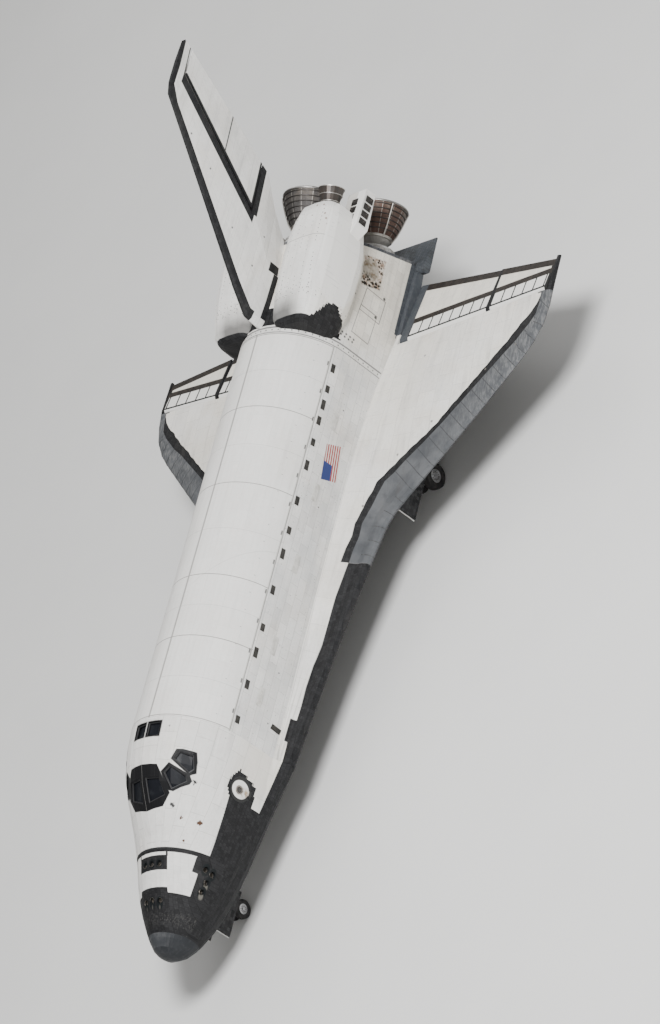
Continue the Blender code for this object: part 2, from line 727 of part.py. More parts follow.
def elevon_room(side):
    """Everything behind the wing's box, apart from the root stub and the tip."""
    low_half, high_half = ELEVON_IN - CLEAR, ELEVON_OUT + CLEAR
    stub_back = FLAP_HINGE_AFT - FLAP_RADIUS - CLEAR
    rings = []
    for up in (-0.5, 2.5):
        low, high = square_to_hinge(low_half, up), square_to_hinge(high_half, up)
        outline = [(cove(low_half), low), (cove(high_half), high), (TIP_BACK, high),
                   (TIP_BACK, WING_HALF + 1), (34.0, WING_HALF + 1), (34.0, 2.0), (stub_back, 2.0),
                   (stub_back, low)]
        rings.append([at(aft, side * half, up) for aft, half in outline])
    return loft(rings)


def build_wing(name, side):
    wing = solid(f"{name}_wing", wing_outer(side), WHITE)
    cut(wing, tool("edge_room", edge_room(side, 0.0)))
    edge = solid(f"{name}_leading_edge", wing_outer(side), GREY)
    boolean(edge, tool("edge_keep", edge_room(side, GAP)), "INTERSECT")

    well = [(WELL_FRONT, 2.85), (24.35, 2.85), (24.35, WELL_OUTER), (WELL_FRONT, WELL_OUTER)]
    cut(wing, tool("elevon_room", elevon_room(side)))
    cut(wing, tool("main_gear_well", plan_block(well, side, high_up=WELL_ROOF)))
    for half in (3.6, 7.2, 8.6, 11.0):
        nose = HINGE_AFT - hinge_radius(half - 0.06) - SEAT
        lug = box((cove(half) - 0.1, side * (half - 0.06), hinge_up(half) - 0.08),
                  (nose, side * (half + 0.06), hinge_up(half) + 0.08))
        join(wing, tool("hinge_lug", lug))


def wing_ring(aft, side, inner_half, edge_half, root_top, edge_up, reach, radius):
    """Section across the wing at a distance aft: flat bottom, round edge, sloping top."""
    low_root = belly(aft) + CORNER_LIFT * corner(aft)
    width = edge_half - reach - inner_half
    shoulder_half = edge_half - reach
    low_edge = edge_up - radius
    high_edge = edge_up + radius
    outline = [(inner_half, low_root)]
    for share in (0.33, 0.67):
        outline.append((inner_half + share * width, low_root + share ** 2 * (low_edge - low_root)))
    outline.append((shoulder_half, low_edge))
    for i in range(1, 6):
        angle = -math.pi / 2 + math.pi * i / 6
        outline.append((shoulder_half + reach * math.cos(angle), edge_up + radius * math.sin(angle)))
    outline.append((shoulder_half, high_edge))
    for share in (0.67, 0.33):
        outline.append((inner_half + share * width, high_edge + (1 - share) * (root_top - high_edge)))
    outline.append((inner_half, root_top))
    return [at(aft, side * half, up) for half, up in outline]


def build_elevon(name, side, first, last, rise_back):
    """A control surface with a round nose on its hinge line."""
    rings = []
    pivot = (HINGE_AFT, side * first, hinge_up(first))
    for half in (first, last):
        radius = hinge_radius(half)
        hinge = hinge_up(half)
        back = 32.182 - 0.1773 * (half - ELEVON_IN)
        outline = []
        for i in range(9):
            angle = math.pi / 2 + math.pi * i / 8
            outline.append((HINGE_AFT + radius * math.cos(angle), hinge + radius * math.sin(angle)))
        back_up = hinge + rise_back
        outline.append((back, back_up - 0.025))
        outline.append((back, back_up + 0.025))
        rings.append([at(aft, side * square_to_hinge(half, up), up) for aft, up in outline])
    solid(name, loft(rings), WHITE, pivot)


FLAP_HINGE_AFT = 32.90
FLAP_HINGE_UP = 0.62
FLAP_RADIUS = 0.22
FLAP_HALF = 3.15


def body_flap_room():
    """Room behind and below the tail body for the flap to swing in."""
    reach = FLAP_RADIUS + CLEAR
    outline = []
    for i in range(9):
        angle = math.pi / 2 + math.pi * i / 8
        outline.append((FLAP_HINGE_AFT + reach * math.cos(angle),
                        FLAP_HINGE_UP + reach * math.sin(angle)))
    outline += [(FLAP_HINGE_AFT, -0.5), (35.5, -0.5), (35.5, FLAP_HINGE_UP + reach + 0.75)]
    return loft([[at(aft, half, up) for aft, up in outline] for half in (-3.2, 3.2)])


def build_body_flap():
    rings = []
    for half in (-FLAP_HALF, FLAP_HALF):
        outline = []
        for i in range(9):
            angle = math.pi / 2 + math.pi * i / 8
            outline.append((FLAP_HINGE_AFT + FLAP_RADIUS * math.cos(angle),
                            FLAP_HINGE_UP + FLAP_RADIUS * math.sin(angle)))
        outline.append((34.60, 0.45))
        outline.append((34.60, 0.51))
        rings.append([at(aft, half, up) for aft, up in outline])
    solid("body_flap", loft(rings), BLACK, (FLAP_HINGE_AFT, 0, FLAP_HINGE_UP))


# fin sections: up, front, back, thickness
FIN = [
    (5.50, 27.34, 31.40, 0.62),
    (6.07, 27.36, 31.90, 0.60),
    (6.83, 27.42, 32.77, 0.56),
    (7.75, 28.23, 34.20, 0.52),
    (8.10, 28.58, 34.36, 0.50),
    (13.30, 33.78, 36.92, 0.26),
    (13.80, 34.28, 37.16, 0.24),
    (13.937, 34.75, 37.00, 0.16),
]
RUDDER_LOW = 8.20
RUDDER_HIGH = 13.28
RUDDER_LIFT = 0.12                  # the slanted hinge lifts one panel as the rudder turns
RUDDER_DIP = 0.06                   # and drops the other one
RUDDER_HINGE_LOW = 32.10
RUDDER_HINGE_SLOPE = 0.695
SLANT = math.hypot(1, RUDDER_HINGE_SLOPE)    # stretches a circle about the slanted hinge
RUDDER_TUBE = 0.04                  # radius of the tube that both panels hang on


def rudder_hinge(up):
    return RUDDER_HINGE_LOW + RUDDER_HINGE_SLOPE * (up - RUDDER_LOW)


def rudder_back(up):
    return FIN_TIP_BACK - TAIL_SLOPE * (FIN_TOP - up)


def rudder_half_thick(up):
    return 0.200 - 0.0168 * (up - RUDDER_LOW)


def build_fin():
    rings = []
    for up, front, back, thick in FIN:
        chord = back - front
        shares = [(0.0, 0.10), (0.015, 0.45), (0.06, 0.68), (0.25, 0.92), (0.55, 1.0), (1.0, 0.10)]
        port = [at(front + share * chord, 0.5 * thick * width, up) for share, width in shares]
        starboard = [at(front + share * chord, -0.5 * thick * width, up)
                     for share, width in reversed(shares)]
        rings.append(port + starboard)
    fin = solid("fin", loft(rings), WHITE)
    cut(fin, tool("fin_seat", aft_outer(GAP, SHIELD + GAP)))
    low, high = RUDDER_LOW - RUDDER_DIP, RUDDER_HIGH + RUDDER_LIFT
    room = []
    for up in (low, high):
        front = rudder_hinge(up) - (rudder_half_thick(up) + 0.012) * SLANT
        ring = [(front, -0.6), (front, 0.6), (38.5, 0.6), (38.5, -0.6)]
        room.append([at(aft, half, up) for aft, half in ring])
    cut(fin, tool("rudder_room", loft(room)))

    # the tube's ends are square to the slanted hinge, so that its rims come close to the fin
    pivot = (rudder_hinge(RUDDER_LOW), 0, RUDDER_LOW)
    tilt = RUDDER_TUBE * RUDDER_HINGE_SLOPE / SLANT
    ends = [low + SEAT + tilt, high - SEAT - tilt]
    tube = rod(*[(rudder_hinge(up), 0, up) for up in ends], RUDDER_TUBE, sides=24)
    solid("rudder_hinge_tube", tube, METAL, pivot)
    relief = (RUDDER_TUBE + SEAT) * math.sqrt(2)
    for name, side in (("left", 1), ("right", -1)):
        rings = []
        for up in (RUDDER_LOW, RUDDER_HIGH):
            hinge, back, thick = rudder_hinge(up), rudder_back(up), rudder_half_thick(up)
            ring = [(hinge, relief), (hinge, thick), (back, 0.025), (back, CLEAR / 2),
                    (hinge + (relief - CLEAR / 2) * SLANT, CLEAR / 2)]
            rings.append([at(aft, side * half, up) for aft, half in ring])
        solid(f"{name}_rudder_panel", loft(rings), WHITE, pivot)


MAIN_AXLE_UP = -1.956
MAIN_GEAR_HALF = 3.454
MAIN_WHEEL_RADIUS = 0.570
NOSE_WHEEL_RADIUS = 0.406
NOSE_AXLE_RADIUS = 0.05
MAIN_AXLE_RADIUS = 0.075
WHEEL_SIDES = 24
ROUND_OUT = 1 / math.cos(math.pi / WHEEL_SIDES)     # puts a wheel's flats at its full radius
FLOOR_WAY = Vector((math.sin(PARK_PITCH), 0, -math.cos(PARK_PITCH)))


def nose_axle_up():
    """Height of the nose axle that puts both pairs of wheels on one level floor."""
    ahead = MAIN_AXLE_AFT - NOSE_AXLE_AFT
    drop = NOSE_WHEEL_RADIUS - MAIN_WHEEL_RADIUS + ahead * math.sin(PARK_PITCH)
    return MAIN_AXLE_UP + drop / math.cos(PARK_PITCH)


def build_wheel_pair(name, place, radius, width, spacing, axle_radius, tyre_names):
    """Two rims on one axle, with a tyre on each."""
    rim = 0.52 * radius
    origin, axle = at(*place), Vector((0, 1, 0))
    outside = spacing / 2 + 0.36 * width
    inside = spacing / 2 - 0.36 * width
    web = spacing / 2 - 0.10 * width
    profile = [
        (-outside - 0.04, 0.0), (-outside - 0.04, 0.28 * rim), (-outside + 0.02, 0.34 * rim),
        (-outside + 0.12 * width, 0.80 * rim), (-outside, 0.88 * rim), (-outside, rim),
        (-inside, rim), (-inside, 0.86 * rim), (-web, 0.74 * rim), (-web, axle_radius),
    ]
    profile += [(-along, reach) for along, reach in reversed(profile)]
    profile = [(along, reach * ROUND_OUT) for along, reach in profile]
    solid(name, turned(profile, origin, axle, WHEEL_SIDES, FLOOR_WAY), SILVER, place)
    seat = rim + 2 * GAP
    wall = radius - rim
    side = [(0.40, seat), (0.50, rim + 0.40 * wall), (0.44, rim + 0.78 * wall), (0.24, radius)]
    outline = side + [(-share, reach) for share, reach in reversed(side)]
    for tyre_name, centre in zip(tyre_names, (spacing / 2, -spacing / 2)):
        tyre = [(centre + share * width, reach * ROUND_OUT) for share, reach in outline]
        solid(tyre_name, turned(tyre, origin, axle, WHEEL_SIDES, FLOOR_WAY), RUBBER, place)


def bearing(place, reach, axle_radius):
    """Cutter for the bore that an axle turns in, with its flats along the axle's own."""
    aft, half, up = place
    radius = (axle_radius * ROUND_OUT + SEAT) * ROUND_OUT
    profile = [(-reach, 0.0), (-reach, radius), (reach, radius), (reach, 0.0)]
    return turned(profile, at(aft, half, up), Vector((0, 1, 0)), WHEEL_SIDES)


def build_nose_gear():
    axle = (NOSE_AXLE_AFT, 0, nose_axle_up())
    aft, _, up = axle
    swivel_up = up + 0.62
    roof = NOSE_WELL_ROOF - GAP
    leg = solid("nose_gear_leg", rod((aft, 0, swivel_up + SEAT), (aft, 0, roof), 0.11), SILVER)
    members = [
        rod((aft - 0.05, 0, up + 1.1), (2.35, 0, roof - 0.08), 0.05),
        rod((aft, -0.51, 1.05), (aft, 0.51, 1.05), 0.07),
        rod((aft, 0, up + 1.0), (aft, 0, up + 1.25), 0.15),
        box((2.2, -0.2, roof - 0.16), (2.5, 0.2, roof)),
    ]
    join(leg, *[tool("nose_leg_member", shape) for shape in members])
    fork = solid("nose_gear_fork", rod((aft, 0, up), (aft, 0, swivel_up), 0.075), SILVER, axle)
    members = [
        box((aft - 0.1, -0.11, up - 0.1), (aft + 0.1, 0.11, up + 0.15)),
        box((aft + 0.05, -0.04, up + 0.05), (aft + 0.22, 0.04, up + 0.35)),
    ]
    join(fork, *[tool("nose_fork_member", shape) for shape in members])
    cut(fork, tool("nose_bearing", bearing(axle, 0.3, NOSE_AXLE_RADIUS)))
    build_wheel_pair("nose_wheels", axle, NOSE_WHEEL_RADIUS, 0.224, 0.559, NOSE_AXLE_RADIUS,
                     ("nose_tyre_left", "nose_tyre_right"))
    for name, side in (("left", 1), ("right", -1)):
        inner, outer = side * (NOSE_WELL_HALF + GAP), side * (NOSE_WELL_HALF + 0.06)
        panel = solid(f"nose_gear_door_{name}", box((1.98, inner, -0.40), (4.02, outer, 0.95)), BLACK)
        belly_room = forward_outer()
        bmesh.ops.translate(belly_room, verts=belly_room.verts, vec=(0, 0, -GAP))
        cut(panel, tool("belly_room", belly_room))


def build_main_gear(name, side):
    half = side * MAIN_GEAR_HALF
    axle = (MAIN_AXLE_AFT, half, MAIN_AXLE_UP)
    aft, _, up = axle
    roof = WELL_ROOF - GAP
    leg = solid(f"{name}_main_gear_leg", rod((aft, half, -1.0), (aft, half, roof), 0.17), SILVER)
    members = [
        rod((aft, half, up), (aft, half, -0.95), 0.11),
        rod((aft - 0.05, half, -0.85), (21.7, half, roof - 0.12), 0.07),
        box((21.45, half - 0.2, roof - 0.2), (21.95, half + 0.2, roof)),
        rod((aft, half - 0.45, roof - 0.2), (aft, half + 0.45, roof - 0.2), 0.12),
        box((aft - 0.14, half - 0.18, up - 0.13), (aft + 0.14, half + 0.18, up + 0.18)),
        box((aft + 0.10, half - 0.05, up + 0.05), (aft + 0.34, half + 0.05, up + 0.85)),
    ]
    join(leg, *[tool("main_leg_member", shape) for shape in members])
    cut(leg, tool("main_bearing", bearing(axle, 0.3, MAIN_AXLE_RADIUS)))
    build_wheel_pair(f"{name}_main_wheels", axle, MAIN_WHEEL_RADIUS, 0.406, 0.92, MAIN_AXLE_RADIUS,
                     (f"{name}_main_tyre_a", f"{name}_main_tyre_b"))
    inner, outer = side * (WELL_OUTER + GAP), side * (WELL_OUTER + 0.08)
    panel = solid(f"{name}_main_gear_door",
                  box((WELL_FRONT + 0.05, inner, -1.15), (24.3, outer, 0.6)), BLACK)
    cut(panel, tool("wing_room", wing_outer(side, GAP)))


def along_floor(aft, up):
    """Distance ahead along the floor of a place on the airframe, once it is tipped."""
    return -aft * math.cos(PARK_PITCH) + up * math.sin(PARK_PITCH)


def build_all():
    build_forward_body()
    build_mid_body()
    build_bay_doors()
    build_aft_body()
    build_pods()
    for name, side in (("left", 1), ("right", -1)):
        build_wing(name, side)
        build_elevon(f"{name}_inboard_elevon", side, ELEVON_IN, ELEVON_SPLIT - 0.01, -0.12)
        build_elevon(f"{name}_outboard_elevon", side, ELEVON_SPLIT + 0.01, ELEVON_OUT, -0.06)
        build_main_gear(name, side)
    build_body_flap()
    build_fin()
    build_nose_gear()
    ahead = along_floor(0.0, NOSE_TIP_UP)
    behind = min(along_floor(back, up) for up, _, back, _ in FIN)
    below = (MAIN_AXLE_UP * math.cos(PARK_PITCH) + MAIN_AXLE_AFT * math.sin(PARK_PITCH)
             - MAIN_WHEEL_RADIUS)
    airframe.rotation_euler = (0, PARK_PITCH, 0)
    airframe.location = (-(ahead + behind) / 2, 0, -below)


build_all()
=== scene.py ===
"""Looks of a winged orbiter that stands on its landing gear.

Places are given in the body's own terms, in metres: aft of the nose tip, half to port of the
centreline, and up from the flat belly. The body stands tipped nose-down on its wheels.
"""

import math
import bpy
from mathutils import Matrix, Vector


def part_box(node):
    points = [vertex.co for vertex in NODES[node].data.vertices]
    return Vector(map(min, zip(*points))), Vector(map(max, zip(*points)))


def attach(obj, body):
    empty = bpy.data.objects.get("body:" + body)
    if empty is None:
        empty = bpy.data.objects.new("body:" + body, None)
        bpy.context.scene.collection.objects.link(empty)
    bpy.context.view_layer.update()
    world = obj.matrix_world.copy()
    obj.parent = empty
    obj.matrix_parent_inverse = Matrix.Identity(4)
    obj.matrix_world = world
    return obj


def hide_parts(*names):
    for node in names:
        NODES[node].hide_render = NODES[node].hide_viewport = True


bl_info = {
    "name": "Winged orbiter looks",
    "version": (1, 0, 0),
    "blender": (4, 5, 0),
    "location": "3D View > Sidebar > Orbiter",
    "description": "Finishes and fine pieces for a winged orbiter on its landing gear",
    "category": "Object",
}

import bmesh
import bpy
from bpy.props import FloatProperty, FloatVectorProperty, IntProperty, PointerProperty
from mathutils import Matrix, Vector
from mathutils.bvhtree import BVHTree

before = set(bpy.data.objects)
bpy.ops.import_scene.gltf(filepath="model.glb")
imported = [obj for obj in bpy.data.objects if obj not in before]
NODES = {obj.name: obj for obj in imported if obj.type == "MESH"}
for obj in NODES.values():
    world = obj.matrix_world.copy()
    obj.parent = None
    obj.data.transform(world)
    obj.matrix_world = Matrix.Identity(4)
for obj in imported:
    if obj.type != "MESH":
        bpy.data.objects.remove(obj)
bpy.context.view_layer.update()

PARK_PITCH = math.radians(3.5)
AIR_ORIGIN = (18.0676, 0.0, 1.0743)
AIR = Matrix.Translation(AIR_ORIGIN) @ Matrix.Rotation(PARK_PITCH, 4, "Y")
FULL_TURN = 2 * math.pi
BODY_HALF = 2.667
ARCH_UP = 3.302
SILL_UP = 3.886
BAY_RADIUS, BAY_CENTRE_UP = 2.286, 3.378
ELEVON_SPLIT = 8.24
EDGE_START = 17.95
SIDES = (("left", 1), ("right", -1))
UPWARD, OUTBOARD, AFTWARD = (0, 0, 1), (0, 1, 0), (1, 0, 0)

# the camera's own right, down and ahead and its place, with x forward of the nose tip
CAMERA_RIGHT = (-0.22663, 0.69728, -0.68003)
CAMERA_DOWN = (0.84880, -0.20104, -0.48901)
CAMERA_AHEAD = (-0.47769, -0.68803, -0.54628)
CAMERA_AT = (61.106, 119.551, 94.707)
SENSOR, LENS = 36.0, 145.42
# lamps, in the room's own terms: place, aim, width, power
LAMPS = {
    "key": ((16.0, 44.0, 80.0), (0, 0, 4), 26.0, 118000.0),
    "fill": ((60.0, 60.0, 30.0), (2, 0, 4), 50.0, 16000.0),
    "rim": ((-60.0, -30.0, 50.0), (0, 0, 5), 36.0, 15000.0),
}

# rounded edge of the port wing in plan: aft, half
WING_EDGE = [
    (13.5, 3.62), (16.0, 3.98), (17.95, 4.31), (18.6, 4.42), (19.8, 4.70), (20.4, 5.02),
    (21.0, 5.56), (22.5, 7.04), (24.5, 9.04), (26.3, 10.82), (26.9, 11.32), (27.6, 11.69),
    (28.4, 11.85), (29.2, 11.896),
]
# how far in from that edge the black strip and the grey carbon reach: aft, reach
STRIP_REACH = [(17.95, 1.05), (19.2, 1.14), (20.44, 1.42), (21.65, 2.10), (23.1, 2.01),
               (24.0, 1.80), (25.0, 1.85), (26.6, 1.70), (27.7, 1.20), (28.15, 0.75), (28.8, 0.46)]
CARBON_REACH = [(17.95, 0.80), (19.2, 0.87), (20.44, 1.15), (21.65, 1.75), (23.1, 1.66),
                (24.0, 1.50), (25.0, 1.45), (26.4, 1.25), (27.45, 0.75), (28.0, 0.46)]
# where the black of the wing's long root starts: aft, half
ROOT_SHORE = [(8.7, 2.80), (9.69, 2.78), (10.66, 2.92), (12.18, 2.96), (13.2, 3.03),
              (14.16, 3.15), (16.36, 3.30), (17.95, 3.49)]
# gimbal point and cant of each main engine, and of the port pod's engine
ENGINES = {
    "top": (30.658, 0.0, 4.470, 10.5, 0.0),
    "left": (31.242, 1.346, 1.921, 10.0, 3.5),
    "right": (31.242, -1.346, 1.921, 10.0, -3.5),
}
POD_ENGINE = (32.512, 2.235, 5.715, 15.8, 6.5)
POD_BACK = 32.75
# outside of a main engine's bell: along from its root, radius
BELL = [(0.0, 0.30), (0.12, 0.42), (0.30, 0.62), (0.62, 0.80), (1.00, 0.95), (1.45, 1.09)]
# thruster mouths on the port side of the nose and on its middle: aft, half, up, direction
MOUTHS = [
    (1.86, 0.0, 3.37, (-0.6, 0, 1)), (1.84, 0.38, 3.31, (-0.6, 0.1, 1)),
    (3.24, 0.0, 3.89, (0, 0, 1)), (3.24, 0.40, 3.84, (0, 0.1, 1)),
    (3.30, 1.87, 2.65, (0, 1, 0.25)), (3.22, 1.95, 2.33, (0, 1, 0.1)),
    (2.83, 1.83, 2.41, (0, 1, -0.1)), (2.45, 1.69, 2.41, (0, 1, -0.1)),
]
# front edge of the fin: up, aft
FIN_FRONT = [(5.50, 27.34), (6.83, 27.42), (7.75, 28.23), (8.10, 28.58), (13.30, 33.78),
             (13.937, 34.75)]
RIMS = {"nose": "nose_wheels", "left": "left_main_wheels", "right": "right_main_wheels"}
# legs, in the room's own terms: x of each, and how far out the main ones stand
NOSE_LEG_X, MAIN_LEG_X, MAIN_LEG_HALF = 14.49, -5.73, 3.454
# window openings on the port side: aft, half, up
PANES = {
    "front": [(5.35, 0.16, 4.95), (5.62, 0.98, 4.90), (6.25, 0.80, 5.32), (6.25, 0.15, 5.48)],
    "middle": [(5.86, 1.22, 4.86), (6.24, 1.74, 4.60), (6.42, 1.74, 4.72), (6.72, 1.26, 5.28),
               (6.44, 1.01, 5.30)],
    "side": [(6.56, 1.84, 4.69), (6.72, 1.98, 4.60), (7.26, 1.98, 4.82), (7.32, 1.54, 5.25),
             (7.00, 1.39, 5.27)],
    "overhead": [(7.90, 0.06, 5.91), (7.90, 0.68, 5.83), (8.50, 0.68, 5.86), (8.50, 0.06, 5.94)],
}
SILL_PATCHES = (9.34, 10.94, 12.41, 13.57, 15.32, 17.03, 18.14, 19.56, 21.28, 22.40, 23.46, 24.24,
                25.01, 26.04)
VENTS = (10.80, 13.15, 16.98, 20.40, 23.90)
DOOR_SEAMS = (8.80, 12.43, 15.29, 19.66, 23.37, 26.97)
DOOR_CREASES = (10.57, 13.86, 17.47, 21.51, 25.17)

SOOT = (0.10, 0.095, 0.09)
STAIN = (0.55, 0.47, 0.37)
RUST = (0.085, 0.045, 0.028)


def colour_prop(name, description, default):
    return FloatVectorProperty(name=name, description=description, subtype="COLOR", size=3,
                               min=0.0, max=1.0, default=default)


def length_prop(name, description, default):
    return FloatProperty(name=name, description=description, unit="LENGTH", min=0.0005, max=5.0,
                         default=default)


class OrbiterColours(bpy.types.PropertyGroup):
    """Colours that the finishes start from."""
    felt: colour_prop("Felt", "White felt and blankets on the body", (0.80, 0.79, 0.765))
    cream: colour_prop("Cream", "Warmer white of the wings and tail sides", (0.80, 0.765, 0.69))
    tile: colour_prop("Black tile", "Glazed black tile", (0.011, 0.011, 0.012))
    slate: colour_prop("Slate", "Weathered blue-black tile by the tail", (0.055, 0.062, 0.072))
    carbon: colour_prop("Carbon", "Grey carbon of nose and wing edges", (0.120, 0.127, 0.138))
    bell: colour_prop("Bell", "Dark metal of the engine bells", (0.050, 0.046, 0.044))
    copper: colour_prop("Heated bell", "Brown of a bell that has been hot", (0.070, 0.040, 0.030))
    lining: colour_prop("Lining", "Cloth lining of the payload bay", (0.62, 0.64, 0.58))
    steel: colour_prop("Steel", "Bare metal of the gear and fittings", (0.52, 0.52, 0.53))
    rubber: colour_prop("Rubber", "Tyres", (0.022, 0.022, 0.023))
    floor: colour_prop("Floor", "Floor under the orbiter", (0.74, 0.74, 0.73))


class OrbiterSizes(bpy.types.PropertyGroup):
    """Sizes of patterns and fine pieces."""
    black_tile: length_prop("Black tile", "Side of a black tile", 0.152)
    blanket: length_prop("Blanket", "Length of a white blanket on the body", 0.92)
    seam: length_prop("Door seam", "Width of a seam between door sections", 0.03)
    edge_panel: length_prop("Edge panel", "Length of a carbon panel along the wing edge", 0.66)
    band: length_prop("Bell band", "Height of a stiffening band on a bell", 0.045)
    bands: IntProperty(name="Bell bands", description="Bands on each main bell", min=3, max=12,
                       default=6)
    tread: length_prop("Groove", "Width of a tyre groove", 0.012)


def settings(context):
    return context.scene.orbiter_colours, context.scene.orbiter_sizes


def place(aft, half, up):
    """A place on the standing orbiter."""
    return AIR @ Vector((-aft, half, up))


def heading(aft, half, up):
    """A direction given in the body's own terms."""
    return (AIR.to_3x3() @ Vector((-aft, half, up))).normalized()


def rgba(colour):
    """A colour as a socket takes it. A single number is a grey."""
    return (*((colour,) * 3 if isinstance(colour, float) else colour), 1.0)


def scaled(colour, share, more=0.0):
    return tuple(share * part + more for part in colour)


class Value:
    """A socket in a finish. Arithmetic on it adds Math nodes to that finish."""

    def __init__(self, finish, socket):
        self.finish = finish
        self.socket = socket

    def math(self, operation, *others, clamp=False):
        return self.finish.value("ShaderNodeMath", {"operation": operation, "use_clamp": clamp},
                                 dict(enumerate((self, *others))))

    def __add__(self, other):
        return self.math("ADD", other)

    def __sub__(self, other):
        return self.math("SUBTRACT", other)

    def __rsub__(self, other):
        return self.math("MULTIPLY_ADD", -1.0, other)

    def __mul__(self, other):
        return self.math("MULTIPLY", other)

    def __mod__(self, other):
        return self.math("FLOORED_MODULO", other)

    def __and__(self, other):
        return self.math("MINIMUM", other)

    def __or__(self, other):
        return self.math("MAXIMUM", other)

    def __abs__(self):
        return self.math("ABSOLUTE")

    __radd__ = __add__
    __rmul__ = __mul__

    def edge(self, soft=0.02):
        """1 where the value is positive and 0 where it is negative, blurred over soft."""
        return self.math("MULTIPLY_ADD", 1.0 / soft, 0.5, clamp=True)

    def over(self, low, high):
        """0 at low and 1 at high."""
        return self.math("MULTIPLY_ADD", 1.0 / (high - low), -low / (high - low), clamp=True)

    def within(self, low, high, soft=0.02):
        """1 between low and high."""
        return (0.5 * (high - low) - abs(self - 0.5 * (low + high))).edge(soft)

    def stepped(self, size):
        """The value in steps of one tile."""
        return self.math("SNAP", size) + 0.5 * size

    def off(self, step):
        """Distance from the middle of each step."""
        return abs(self % step - 0.5 * step)


class Finish:
    """A material in the making: a colour and a roughness on which layers are laid."""

    def __init__(self, name, colour, roughness, fixed=None):
        self.material = bpy.data.materials.new(name)
        self.material.use_nodes = True
        self.tree = self.material.node_tree
        self.tree.nodes.clear()
        self.shader = self.node("ShaderNodeBsdfPrincipled", None,
                                fixed or {"Specular IOR Level": 0.18})
        self.colours, self.sizes = settings(bpy.context)
        self.colour = colour
        self.roughness = roughness
        self.relief = None
        where = self.node("ShaderNodeTexCoord")
        self.body = self.value("ShaderNodeMapping", {"vector_type": "TEXTURE"}, {
            "Vector": where.outputs["Object"], "Location": AIR_ORIGIN,
            "Rotation": (0.0, PARK_PITCH, 0.0), "Scale": (-1.0, 1.0, 1.0)})
        self.aft, self.half, self.up = self.split(self.body)
        self.side = abs(self.half)
        _, self.port, self.rise = self.split(where.outputs["Normal"])

    def node(self, kind, settings=None, inputs=None):
        """Adds a node. Its settings are set first, then the values or links of its sockets."""
        made = self.tree.nodes.new(kind)
        for name, value in (settings or {}).items():
            if name == "stops":
                self.set_stops(made.color_ramp, value)
            else:
                setattr(made, name, value)
        self.plug(made, inputs or {})
        return made

    def plug(self, node, inputs):
        for name, value in inputs.items():
            if isinstance(value, Value):
                value = value.socket
            if isinstance(value, bpy.types.NodeSocket):
                self.tree.links.new(value, node.inputs[name])
            else:
                node.inputs[name].default_value = value

    def set_stops(self, ramp, stops):
        while len(ramp.elements) < len(stops):
            ramp.elements.new(0.5)
        for element, (position, level) in zip(ramp.elements, stops):
            element.position = position
        for element, (position, level) in zip(ramp.elements, stops):
            element.color = rgba(float(level))

    def value(self, kind, settings=None, inputs=None, output=0):
        return Value(self, self.node(kind, settings, inputs).outputs[output])

    def split(self, vector):
        parts = self.node("ShaderNodeSeparateXYZ", None, {0: vector})
        return [Value(self, socket) for socket in parts.outputs]

    def vector(self, operation, first, second=None, output=0):
        inputs = {0: first} if second is None else {0: first, 1: second}
        return self.value("ShaderNodeVectorMath", {"operation": operation}, inputs, output)

    @property
    def around(self):
        """Distance from the crest of the round body, over the arch and down the side."""
        angle = self.side.math("ARCTAN2", (self.up - ARCH_UP) | 0.0)
        return angle * BODY_HALF + ((ARCH_UP - self.up) | 0.0)

    @property
    def under(self):
        """1 where the surface faces down."""
        return (-0.35 - self.rise).edge(0.1)

    def noise(self, scale, detail=3.0, stretch=None, roughness=0.55):
        """Noise over the body, or streaks where it is stretched."""
        where = self.vector("MULTIPLY", self.body, stretch) if stretch else self.body
        return self.value("ShaderNodeTexNoise", None, {
            "Vector": where, "Scale": scale, "Detail": detail,
            "Roughness": 0.6 if stretch else roughness})

    def distance(self, spot, stretch=(1.0, 1.0, 1.0), both=False):
        """Distance from a place on the body, or from that place on both sides."""
        where = self.vector("ABSOLUTE", self.body) if both else self.body
        away = self.vector("MULTIPLY", self.vector("SUBTRACT", where, spot), stretch)
        return self.vector("LENGTH", away, output=1)

    def near(self, radius, spot, stretch=(1, 0, 1), soft=0.02, both=False):
        """1 within a radius of a place."""
        return (radius - self.distance(spot, stretch, both)).edge(soft)

    def dots(self, scale, radius, share=1.0):
        """Scattered dots, of which a share is kept."""
        cells = self.node("ShaderNodeTexVoronoi", {"feature": "F1"},
                          {"Vector": self.body, "Scale": scale})
        size = radius * scale
        chance = self.split(cells.outputs["Color"])[0]
        return (size - Value(self, cells.outputs["Distance"])).edge(0.3 * size) * \
            (share - chance).edge(0.01)

    def bricks(self, along, across, width, height, joint):
        """Rows of panels: a tone for each panel, and the joints between them."""
        where = self.value("ShaderNodeCombineXYZ", None, {0: along, 1: across})
        wall = self.node("ShaderNodeTexBrick", {"offset": 0.5, "offset_frequency": 2}, {
            "Vector": where, "Color1": rgba(0.0), "Color2": rgba(1.0), "Mortar": rgba(0.5),
            "Scale": 1.0, "Mortar Size": joint, "Mortar Smooth": 0.4, "Bias": 0.0,
            "Brick Width": width, "Row Height": height})
        return Value(self, wall.outputs["Color"]), Value(self, wall.outputs["Fac"])

    def table(self, along, rows):
        """A value that goes in straight lines through rows of (along, value)."""
        first, last = rows[0][0], rows[-1][0]
        low = min(row[1] for row in rows)
        span = max(row[1] for row in rows) - low
        stops = [((x - first) / (last - first), (y - low) / span) for x, y in rows]
        ramp = self.value("ShaderNodeValToRGB", {"stops": stops}, {0: along.over(first, last)})
        return ramp * span + low

